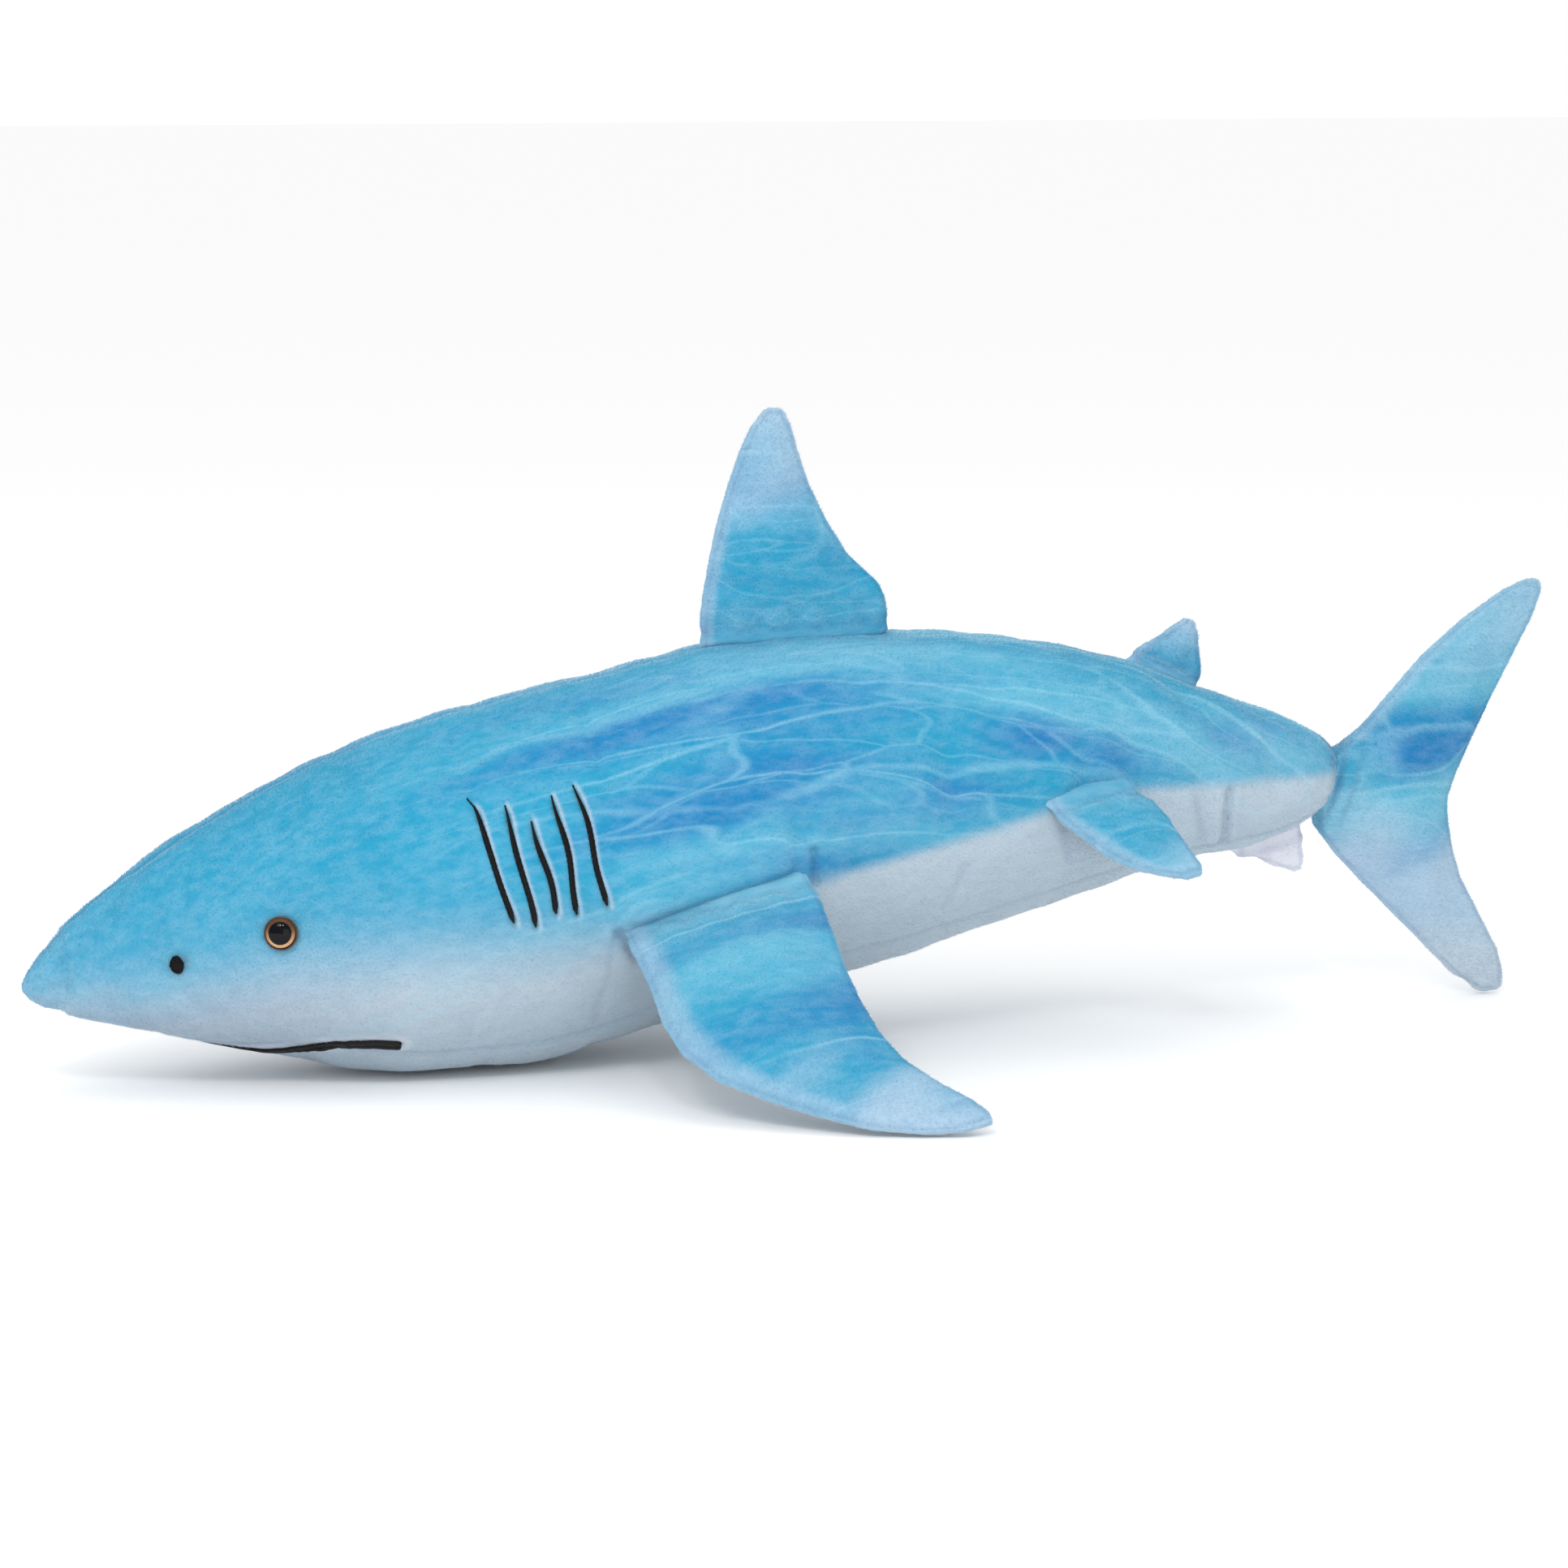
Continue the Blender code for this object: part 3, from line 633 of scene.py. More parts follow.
@dataclass(frozen=True)
class EyeFinish:
    """A glossy eye painted behind clear plastic: a black pupil in a bronze ring.

    Attributes:
        pupil: The pupil's black.
        bronze: The ring's colour, where light falls on it.
        umber: The ring's colour in shade.
        pupil_share: The pupil's share of the lens's radius.
    """

    pupil: Colour = (0.006, 0.006, 0.008)
    bronze: Colour = (0.860, 0.480, 0.220)
    umber: Colour = (0.130, 0.060, 0.030)
    pupil_share: float = 0.76

    def material(self) -> Material:
        """Builds the eye's material, from the share of the radius and the height stored on the lens."""
        material, sheet, shader = new_finish("eye_lens_glossy")
        radius, up, _ = sheet.parts_of("dial")
        ring = sheet.mix(sheet.ramp(up, 0.6, -0.9), self.umber, self.bronze)
        flakes = sheet.noise(sheet.place(), 2600.0, 2.0).outputs["Fac"]
        ring = sheet.mix(sheet.ramp(flakes, 0.3, 0.7, 0.5), ring, self.umber)
        outside = sheet.ramp(radius, self.pupil_share - 0.03, self.pupil_share + 0.03)
        rim = sheet.ramp(radius, 0.93, 0.985)
        finish = {
            "Base Color": sheet.mix(rim, sheet.mix(outside, self.pupil, ring), self.pupil),
            "Metallic": sheet.times(sheet.math("SUBTRACT", outside, rim), 0.25),
            "Roughness": sheet.math("ADD", 0.12, sheet.times(outside, 0.2)),
            "Specular IOR Level": 0.0,
            "Coat Weight": 1.0,
            "Coat IOR": 1.26,
            "Coat Roughness": 0.03,
        }
        sheet.fill(shader, finish)
        return material


@dataclass(frozen=True)
class PlasticFinish:
    """Moulded plastic of the eye's cup and washer.

    Attributes:
        name: The material's name.
        colour: The plastic's colour.
        roughness: Its roughness.
    """

    name: str
    colour: Colour
    roughness: float

    def material(self) -> Material:
        """Builds the plastic, with a faint mottle and moulding texture."""
        material, sheet, shader = new_finish(self.name)
        mottle = sheet.noise(sheet.place(), 900.0, 3.0).outputs["Fac"]
        paler = tuple(min(1.0, channel * 1.6 + 0.01) for channel in self.colour)
        finish = {
            "Base Color": sheet.mix(sheet.ramp(mottle, 0.4, 0.7), self.colour, paler),
            "Roughness": sheet.math("ADD", self.roughness, sheet.times(mottle, 0.12)),
            "Normal": sheet.bump(mottle, 0.25, 0.0002),
        }
        sheet.fill(shader, finish)
        return material


CUP_PLASTIC = PlasticFinish("eye_cup_umber_plastic", (0.055, 0.030, 0.018), 0.28)
WASHER_PLASTIC = PlasticFinish("eye_washer_white_plastic", (0.62, 0.62, 0.60), 0.45)


# ---------------------------------------------------------------- padding


@dataclass
class Padding:
    """Blows sewn covers up like stuffing does, all in one run of the Cloth solver.

    Attributes:
        pressure: The push of the stuffing.
        slack: The share by which the cloth is cut larger than the pattern.
        mass: The mass of each of the cloth's points.
        tension: The cloth's stiffness against stretching.
        compression: Its stiffness against squeezing.
        shear: Its stiffness against shearing.
        bending: Its stiffness against bending.
        quality: How many steps the solver takes in a frame.
        last_frame: How long the run takes.
        covers: Each cover, how far its points may move, and how many points a ring has.
    """

    pressure: float = 4.0
    slack: float = 0.025
    mass: float = 0.25
    tension: float = 20.0
    compression: float = 12.0
    shear: float = 6.0
    bending: float = 0.6
    quality: int = 4
    last_frame: int = 20
    covers: list[tuple[Object, float, int]] = field(default_factory=list)

    def add(self, cover: Object, sewn: Array, cap: float, ring: int) -> None:
        """Adds a cover.

        Args:
            cover: The closed cover at its cut size.
            sewn: For each vertex, 1 where a seam holds it and 0 where it is free.
            cap: How far a point may move, in metres.
            ring: How many points a ring has.
        """
        self.covers.append((cover, cap, ring))
        group = cover.vertex_groups.new(name="sewn")
        for index in np.flatnonzero(sewn > 0.01):
            group.add([int(index)], float(sewn[index]), "REPLACE")
        cloth = cover.modifiers.new("Padding", "CLOTH")
        settings = cloth.settings
        settings.quality = self.quality
        settings.mass = self.mass
        settings.tension_stiffness = self.tension
        settings.compression_stiffness = self.compression
        settings.shear_stiffness = self.shear
        settings.bending_stiffness = self.bending
        settings.use_pressure = True
        settings.uniform_pressure_force = self.pressure
        settings.shrink_min = -self.slack
        settings.vertex_group_mass = "sewn"
        settings.effector_weights.gravity = 0.0
        cloth.collision_settings.use_collision = False
        cloth.point_cache.frame_start = 1
        cloth.point_cache.frame_end = self.last_frame

    def inflate(self) -> None:
        """Runs the solver, keeps each point's outward push up to its cap, and removes the modifier."""
        scene = bpy.context.scene
        for number in range(1, self.last_frame + 1):
            scene.frame_set(number)
        graph = bpy.context.evaluated_depsgraph_get()
        for cover, cap, ring in self.covers:
            puffed = points_of(cover.evaluated_get(graph).data)
            flat = points_of(cover.data)
            outward = normals_of(cover.data)
            push = ((puffed - flat) * outward).sum(1, keepdims=True)
            move = cap * np.tanh(push / cap) * outward
            evened = relax(move[:-2].reshape(-1, ring, 3), 2, ring=True).reshape(-1, 3)
            move = np.vstack([evened, move[-2:]])
            cover.modifiers.clear()
            set_points(cover.data, flat + move)
            LOG.info("%s: stuffing moved it %.1f mm at most", cover.name, 1000 * np.abs(move).max())
        scene.frame_set(1)


def subdivided(cover: Object, name: str) -> Object:
    """The cover with one subdivision, as a plain mesh with smooth faces."""
    smooth = cover.modifiers.new("Smooth", "SUBSURF")
    smooth.levels = smooth.render_levels = 1
    done = baked(cover, name)
    done.data.shade_smooth()
    return done


# ---------------------------------------------------------------- eyes


@dataclass
class Eye:
    """A safety eye: a domed lens in a cup, pushed through the cover.

    Attributes:
        side: The side of the head.
        rise: How high the dome stands over its rim.
        seat_depth: How far the eye pulls the cover in.
        lift: How far the whole eye stands off its CAD place.
        segments: How many sides its round pieces have.
    """

    side: Side
    rise: float = 0.0052
    seat_depth: float = 0.0016
    lift: float = 0.0016
    segments: int = 48

    def __post_init__(self) -> None:
        """Finds the eye's place, direction and radius in the frame."""
        lens = CadShell((f"eye_lens_{self.side.word}",)).points
        washer = CadShell((f"eye_washer_{self.side.word}",)).points
        self.axis = unit(lens.mean(0) - washer.mean(0))
        along = (lens - washer.mean(0)) @ self.axis
        beside = np.linalg.norm(lens - washer.mean(0) - along[:, None] * self.axis, axis=1)
        self.radius = float(beside.max())
        self.peak = washer.mean(0) + float(along.max()) * self.axis
        self.centre = self.peak - self.rise * self.axis
        self.up = unit(np.array([0, 0, 1.0]) - self.axis[2] * self.axis)
        self.right = np.cross(self.up, self.axis)

    def turned(self, name: str, profile: list[tuple[float, float]]) -> Object:
        """A turned piece on the eye's axis.

        Args:
            name: The piece's name.
            profile: Radius and height of each ring, from the middle of the back to the middle of the front.

        Returns:
            The closed piece.
        """
        turns = np.linspace(0, 2 * math.pi, self.segments, endpoint=False)
        spokes = np.cos(turns)[:, None] * self.right + np.sin(turns)[:, None] * self.up
        base = self.centre + self.lift * self.axis
        rings = np.array([base + radius * spokes + height * self.axis for radius, height in profile])
        piece = sleeve(name, rings, (rings[0].mean(0), rings[-1].mean(0)))
        piece.data.shade_smooth()
        return piece

    def build(self, lens_finish: Material, cup_finish: Material) -> None:
        """Builds the lens and the cup's lip."""
        quarter = np.linspace(math.pi / 2, 0.06, 16)
        dome = [(0.05 * self.radius, -0.003), (0.97 * self.radius, -0.003)]
        dome += [(self.radius * math.sin(turn), self.rise * math.cos(turn)) for turn in quarter]
        lens = self.turned(f"eye_lens_glossy_{self.side.word}", dome)
        away = points_of(lens.data) - self.centre
        across, up = away @ self.right, away @ self.up
        share = np.hypot(across, up - 0.05 * self.radius) / self.radius
        store(lens.data, dial=np.stack([share, up / self.radius, 0 * up], axis=1))
        lens.data.materials.append(lens_finish)
        lip = [(0.6 * self.radius, -0.0022), (1.06 * self.radius, -0.0022)]
        turns = np.linspace(-0.5 * math.pi, 0.8 * math.pi, 9)
        rim = 1.05 * self.radius
        lip += [(rim + 0.0007 * math.cos(turn), -0.0004 + 0.0007 * math.sin(turn)) for turn in turns]
        lip += [(0.94 * self.radius, -0.0012), (0.6 * self.radius, -0.0012)]
        cup = self.turned(f"eye_cup_rim_{self.side.word}", lip)
        cup.data.materials.append(cup_finish)
        for piece, node, slot in ((lens, "eye_lens", "eye_lens"), (cup, "eye_cup", "eye_cup")):
            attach(piece, "front_body")
            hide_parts(f"{node}_{self.side.word}")


# ---------------------------------------------------------------- embroidery


@dataclass
class StitchTree:
    """The tree of nodes that lays one thread at each stitch.

    Attributes:
        sides: How many sides a thread has.
        steps: How many steps it has from end to end.
    """

    sides: int = 8
    steps: int = 5

    def __post_init__(self) -> None:
        """Builds the tree once."""
        tree, sheet, given, result = open_group(
            "SatinStitches",
            {"Places": GEOMETRY, "Sides": WHOLE, "Steps": WHOLE, "Finish": MATERIAL},
            {"Threads": GEOMETRY},
            "GeometryNodeTree",
        )
        thread = sheet.add(
            "GeometryNodeMeshUVSphere",
            {"Segments": given.outputs["Sides"], "Rings": given.outputs["Steps"], "Radius": 1.0},
        )
        read = {
            name: sheet.add("GeometryNodeInputNamedAttribute", {"Name": name}, data_type="FLOAT_VECTOR").outputs[0]
            for name in ("thread_way", "thread_lift", "thread_size")
        }
        flat = sheet.add("FunctionNodeAlignRotationToVector", {"Vector": read["thread_way"]}, axis="Z")
        turn = sheet.add(
            "FunctionNodeAlignRotationToVector",
            {"Rotation": flat.outputs[0], "Vector": read["thread_lift"]},
            axis="X",
            pivot_axis="Z",
        )
        places = sheet.add("GeometryNodeMeshToPoints", {"Mesh": given.outputs["Places"]})
        placed = sheet.add(
            "GeometryNodeInstanceOnPoints",
            {
                "Points": places.outputs[0],
                "Instance": thread.outputs["Mesh"],
                "Rotation": turn.outputs[0],
                "Scale": read["thread_size"],
            },
        )
        real = sheet.add("GeometryNodeRealizeInstances", {"Geometry": placed.outputs[0]})
        smooth = sheet.add("GeometryNodeSetShadeSmooth", {"Geometry": real.outputs[0]})
        dressing = {"Geometry": smooth.outputs[0], "Material": given.outputs["Finish"]}
        dressed = sheet.add("GeometryNodeSetMaterial", dressing)
        sheet.fill(result, {"Threads": dressed.outputs[0]})
        self.tree = tree

    def sew(
        self, name: str, places: Array, ways: Array, lifts: Array, sizes: Array, finish: Material
    ) -> Object:
        """Lays the threads.

        Args:
            name: The piece's name.
            places: Where each stitch has its middle.
            ways: The way each thread runs.
            lifts: The way out of the cloth at each stitch.
            sizes: Half a thread's height, width and length.
            finish: The thread's material.

        Returns:
            The stitches as one plain mesh object.
        """
        mesh = bpy.data.meshes.new(f"{name}_places")
        mesh.from_pydata(places.tolist(), [], [])
        store(mesh, thread_way=ways, thread_lift=lifts, thread_size=sizes)
        source = link(bpy.data.objects.new(f"{name}_places", mesh))
        threads = source.modifiers.new("Stitches", "NODES")
        threads.node_group = self.tree
        set_inputs(threads, {"Sides": self.sides, "Steps": self.steps, "Finish": finish})
        return baked(source, name)


@dataclass
class Ground:
    """The finished cover, for stitches to lie on.

    Attributes:
        cover: The cover.
    """

    cover: Object

    def __post_init__(self) -> None:
        """Builds the cover's tree."""
        graph = bpy.context.evaluated_depsgraph_get()
        self.tree = BVHTree.FromObject(self.cover, graph)

    def settle(self, points: Array) -> tuple[Array, Array, Array, Array]:
        """Lays a row of points on the cover.

        Args:
            points: The row's points.

        Returns:
            Their places, and the ways along the row, across it and out of the cloth there.
        """
        found = [self.tree.find_nearest(Vector(point)) for point in points]
        places, lifts = (np.array([hit[part] for hit in found]) for part in (0, 1))
        run = unit(np.gradient(places, axis=0))
        return places, run, unit(np.cross(run, lifts)), lifts


@dataclass
class Stitching:
    """Something embroidered on the head.

    Attributes:
        side: The side of the head it is on, or None for both.
    """

    side: Side | None = None

    def marks(self, points: Array) -> tuple[Array, Array, Array]:
        """How the stitching changes the cloth round it.

        Args:
            points: The cover's points.

        Returns:
            The soft ink, the pale rim and the bare share at each point.
        """
        raise NotImplementedError

    def sew(self, ground: Ground, tree: StitchTree, finish: Material) -> None:
        """Lays the threads on the cover."""
        raise NotImplementedError


@dataclass
class Gill(Stitching):
    """One gill slit: a wavy bar of satin stitch, thin at the top, with a pale rim behind it.

    Attributes:
        number: Its number from the front.
        width: The bar's width.
        spacing: The distance between stitches.
        sway: How far the bar waves to either side.
    """

    number: int = 1
    width: float = 0.0043
    spacing: float = 0.00050
    sway: float = 0.0009

    def __post_init__(self) -> None:
        """Reads the slit's ends from the frame."""
        points = CadShell((f"gill_slit_{self.side.word}_{self.number}",)).points
        order = np.argsort(points[:, 2])
        low, high = points[order[:12]].mean(0), points[order[-12:]].mean(0)
        share = np.linspace(0, 1, 25)[:, None]
        self.line = high + (low - high) * share
        waves = 2 * math.pi * (0.8 + 0.12 * self.number)
        self.line[:, 0] += self.sway * np.sin(share[:, 0] * waves + self.number)
        middle_side = points[:, 1].mean()
        bulge = middle_side - (low[1] + high[1]) / 2
        self.line[:, 1] += bulge * np.interp(share[:, 0], (0, 0.5, 1), (0, 1, 0))

    def marks(self, points: Array) -> tuple[Array, Array, Array]:
        """A soft dark edge, and a pale pink rim behind the slit."""
        distance = line_distance(points, self.line)
        behind = points[:, 0] - np.interp(-points[:, 2], -self.line[:, 2], self.line[:, 0])
        rim = 0.42 * bell(distance - 0.0030, 0.0012) * smooth_ramp(behind, 0.0, 0.0022)
        shadow = 0.75 * bell(distance, 0.0021)
        return shadow, rim, smooth_ramp(distance, 0.0030, 0.0018)

    def sew(self, ground: Ground, tree: StitchTree, finish: Material) -> None:
        """Lays slanted stitches side by side along the slit."""
        points, share = along_line(self.line, self.spacing)
        places, run, across, lifts = ground.settle(points)
        ways = unit(across + 0.45 * run)
        taper = (0.30 + 0.70 * smooth_ramp(share, 0.0, 0.40)) * (0.35 + 0.65 * smooth_ramp(share, 1.0, 0.93))
        uneven = 1 + 0.07 * np.sin(share * 190 + self.number) * np.sin(share * 61)
        half = 0.5 * self.width * taper * uneven
        sizes = np.stack([0.00055 * taper**0.5, np.full(len(half), 0.62 * self.spacing), half], axis=1)
        name = f"gill_stitching_{self.side.word}_{self.number}"
        piece = tree.sew(name, places + 0.0004 * lifts, ways, lifts, sizes, finish)
        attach(piece, "front_body")
        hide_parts(f"gill_slit_{self.side.word}_{self.number}")


@dataclass
class Mouth(Stitching):
    """The mouth: a braid of chain stitch under the head, thickest at the corners.

    Attributes:
        spread: The corners' angle from the middle of the belly.
        corner_width: The braid's width at the corners.
        front_width: Its width in front.
        spacing: The distance between stitches.
        thread: The CAD stitching's own half width.
        body: The body it is sewn to.
    """

    spread: float = math.radians(41)
    corner_width: float = 0.0082
    front_width: float = 0.0046
    spacing: float = 0.00135
    thread: float = 0.0023
    body: BodyLine | None = None

    def __post_init__(self) -> None:
        """Works the mouth's line out from its CAD stitching."""
        low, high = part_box("mouth_stitching")
        front, corner = low.x + 0.012, high.x - self.thread
        turn = np.linspace(0, math.pi, 61)
        across = np.sign(np.cos(turn)) * np.cos(turn) ** 2
        places = corner + (front - corner) * np.sin(turn)
        self.line = np.array([self.body.place(x, self.spread * share) for x, share in zip(places, across)])

    def marks(self, points: Array) -> tuple[Array, Array, Array]:
        """A soft dark edge and a pale rim on both sides."""
        distance = line_distance(points, self.line)
        ink, rim = 0.55 * bell(distance, 0.0024), 0.55 * bell(distance - 0.0050, 0.0030)
        return ink, rim, smooth_ramp(distance, 0.0040, 0.0025)

    def sew(self, ground: Ground, tree: StitchTree, finish: Material) -> None:
        """Lays two rows of stitches that lean against each other like a braid, on a run of flat ones."""
        points, share = along_line(self.line, self.spacing)
        places, run, across, lifts = ground.settle(points)
        corner = np.abs(2 * share - 1)
        width = self.front_width + (self.corner_width - self.front_width) * smooth_ramp(corner, 0.25, 0.95)
        width *= 0.45 + 0.55 * smooth_ramp(corner, 1.0, 0.985)
        rows = []
        for hand in (-1.0, 1.0):
            ways = unit(run + hand * 0.75 * across)
            middle = places + 0.25 * hand * width[:, None] * across + 0.0011 * lifts
            sizes = np.stack([0.20 * width, 0.17 * width, 0.36 * width], axis=1)
            rows.append((middle, ways, lifts, sizes))
        flat_sizes = np.stack([0.12 * width, np.full(len(width), 0.6 * self.spacing), 0.5 * width], axis=1)
        rows.append((places + 0.0004 * lifts, across, lifts, flat_sizes))
        joined = [np.concatenate(column) for column in zip(*rows)]
        piece = tree.sew("mouth_braid", *joined, finish)
        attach(piece, "front_body")
        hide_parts("mouth_stitching")


@dataclass
class Nostril(Stitching):
    """A nostril: a small oval of satin stitch that fades out up and back.

    Attributes:
        length: The oval's length.
        height: Its height.
        spacing: The distance between stitches.
    """

    length: float = 0.0098
    height: float = 0.0120
    spacing: float = 0.00042

    def __post_init__(self) -> None:
        """Finds the nostril in the frame."""
        low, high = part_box(f"nostril_{self.side.word}")
        self.centre = np.array((low + high) / 2)

    def marks(self, points: Array) -> tuple[Array, Array, Array]:
        """A soft grey edge that trails up and back."""
        distance = np.linalg.norm(points - self.centre, axis=1)
        trail = np.linalg.norm(points - self.centre - np.array([0.0042, 0, 0.0022]), axis=1)
        ink = np.maximum(0.9 * bell(distance, 0.0060), 0.6 * bell(trail, 0.0046))
        return ink, np.zeros(len(points)), smooth_ramp(distance, 0.0050, 0.0040)

    def sew(self, ground: Ground, tree: StitchTree, finish: Material) -> None:
        """Lays upright stitches side by side over the oval."""
        shift = np.arange(-0.5 * self.length, 0.5 * self.length, self.spacing)
        points = self.centre + np.stack([shift, 0 * shift, 0.18 * shift], axis=1)
        places, _, across, lifts = ground.settle(points)
        half = 0.5 * self.height * np.sqrt(np.clip(1 - (shift / (0.5 * self.length)) ** 2, 0.02, 1))
        sizes = np.stack([np.full(len(shift), 0.0011), np.full(len(shift), 0.7 * self.spacing), half], axis=1)
        name = f"nostril_stitching_{self.side.word}"
        piece = tree.sew(name, places + 0.0009 * lifts, across, lifts, sizes, finish)
        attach(piece, "front_body")
        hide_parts(f"nostril_{self.side.word}")


@dataclass
class BodyLine:
    """Places on the CAD body under the head.

    Attributes:
        nodes: The CAD nodes of the body's front.
    """

    nodes: tuple[str, ...] = ("side_panel_left_front", "side_panel_right_front", "belly_panel_front")

    def __post_init__(self) -> None:
        """Reads the CAD body's front."""
        self.shell = CadShell(self.nodes)

    def place(self, x: float, angle: float) -> Array:
        """The place on the body at x, at an angle from the middle of the belly."""
        top = 1.0 - self.shell.reach(np.array([x, 0.006, 1.0]), np.array([0, 0, -1.0]))
        bottom = self.shell.reach(np.array([x, 0.006, -1.0]), np.array([0, 0, 1.0])) - 1.0
        centre = np.array([x, 0.0, (top + bottom) / 2])
        away = np.array([0.0, math.sin(angle), -math.cos(angle)])
        starts = [centre + away + np.array([shift, 0, 0]) for shift in (0, 0.0015, -0.0015)]
        reaches = [self.shell.reach(start, -away) for start in starts]
        return centre + (1.0 - min(reach for reach in reaches if reach is not None)) * away


# ---------------------------------------------------------------- body


# The height at which the blue runs out into the belly's colour, by x.
WATERLINE: tuple[tuple[float, float], ...] = (
    (-0.501, 0.052),
    (-0.420, 0.062),
    (-0.358, 0.077),
    (-0.280, 0.084),
    (-0.200, 0.090),
    (-0.156, 0.095),
    (-0.090, 0.106),
    (-0.038, 0.118),
    (0.050, 0.137),
    (0.126, 0.152),
    (0.187, 0.160),
    (0.250, 0.160),
    (0.346, 0.157),
)

# How the nose tapers: the distance from its tip, and the share of the CAD model's radius.
NOSE_END: tuple[tuple[float, float], ...] = (
    (0.0000, 0.50),
    (0.0020, 0.55),
    (0.0040, 0.63),
    (0.0060, 0.69),
    (0.0080, 0.74),
    (0.0105, 0.81),
    (0.0130, 0.88),
    (0.0160, 0.93),
    (0.0210, 0.97),
    (0.0270, 1.00),
)

# How the cover is drawn in to the neck: x, and the share of the girth.
REAR_END: tuple[tuple[float, float], ...] = (
    (0.2900, 1.00),
    (0.3000, 0.95),
    (0.3100, 0.88),
    (0.3200, 0.80),
    (0.3300, 0.70),
    (0.3380, 0.60),
    (0.3440, 0.50),
    (0.3480, 0.40),
    (0.3505, 0.28),
    (0.3512, 0.20),
)

# Patches of deep water on the flank: x, height, half length, half height and strength.
DEEP_WATER: tuple[tuple[float, float, float, float, float], ...] = (
    (-0.050, 0.190, 0.060, 0.016, 0.7),
    (-0.045, 0.135, 0.055, 0.016, 0.8),
    (0.000, 0.150, 0.040, 0.016, 0.9),
    (0.050, 0.165, 0.040, 0.015, 0.8),
    (0.130, 0.200, 0.045, 0.016, 0.9),
    (0.185, 0.190, 0.045, 0.018, 1.0),
    (0.265, 0.185, 0.040, 0.014, 0.8),
)

# Folds of the cover on the left flank: their points, width and depth.
FOLDS: tuple[tuple[tuple[Point, ...], float, float], ...] = (
    (((0.2593, -0.0511, 0.1537), (0.2591, -0.0483, 0.1402), (0.2643, -0.0319, 0.1163)), 0.0030, 0.0034),
    (((0.0689, -0.0851, 0.1201), (0.0657, -0.0795, 0.1066), (0.0603, -0.0727, 0.0930)), 0.0035, 0.0011),
    (((0.2344, -0.0575, 0.1507), (0.2455, -0.0390, 0.1185)), 0.0045, 0.0010),
    (((-0.0352, -0.1018, 0.1400), (-0.0342, -0.0989, 0.1181)), 0.0030, 0.0030),
    (((-0.1590, -0.1040, 0.0960), (-0.1459, -0.0977, 0.0794)), 0.0035, 0.0025),
    (((0.1349, -0.0801, 0.1489), (0.1448, -0.0668, 0.1181)), 0.0040, 0.0010),
    (((0.3000, 0.0420, 0.1500), (0.2960, 0.0330, 0.1240)), 0.0035, 0.0018),
    (((0.0480, 0.0900, 0.1250), (0.0600, 0.0740, 0.0930)), 0.0035, 0.0012),
    (((-0.0352, 0.1018, 0.1400), (-0.0342, 0.0989, 0.1181)), 0.0030, 0.0030),
    (((-0.1590, 0.1040, 0.0960), (-0.1459, 0.0977, 0.0794)), 0.0035, 0.0025),
)


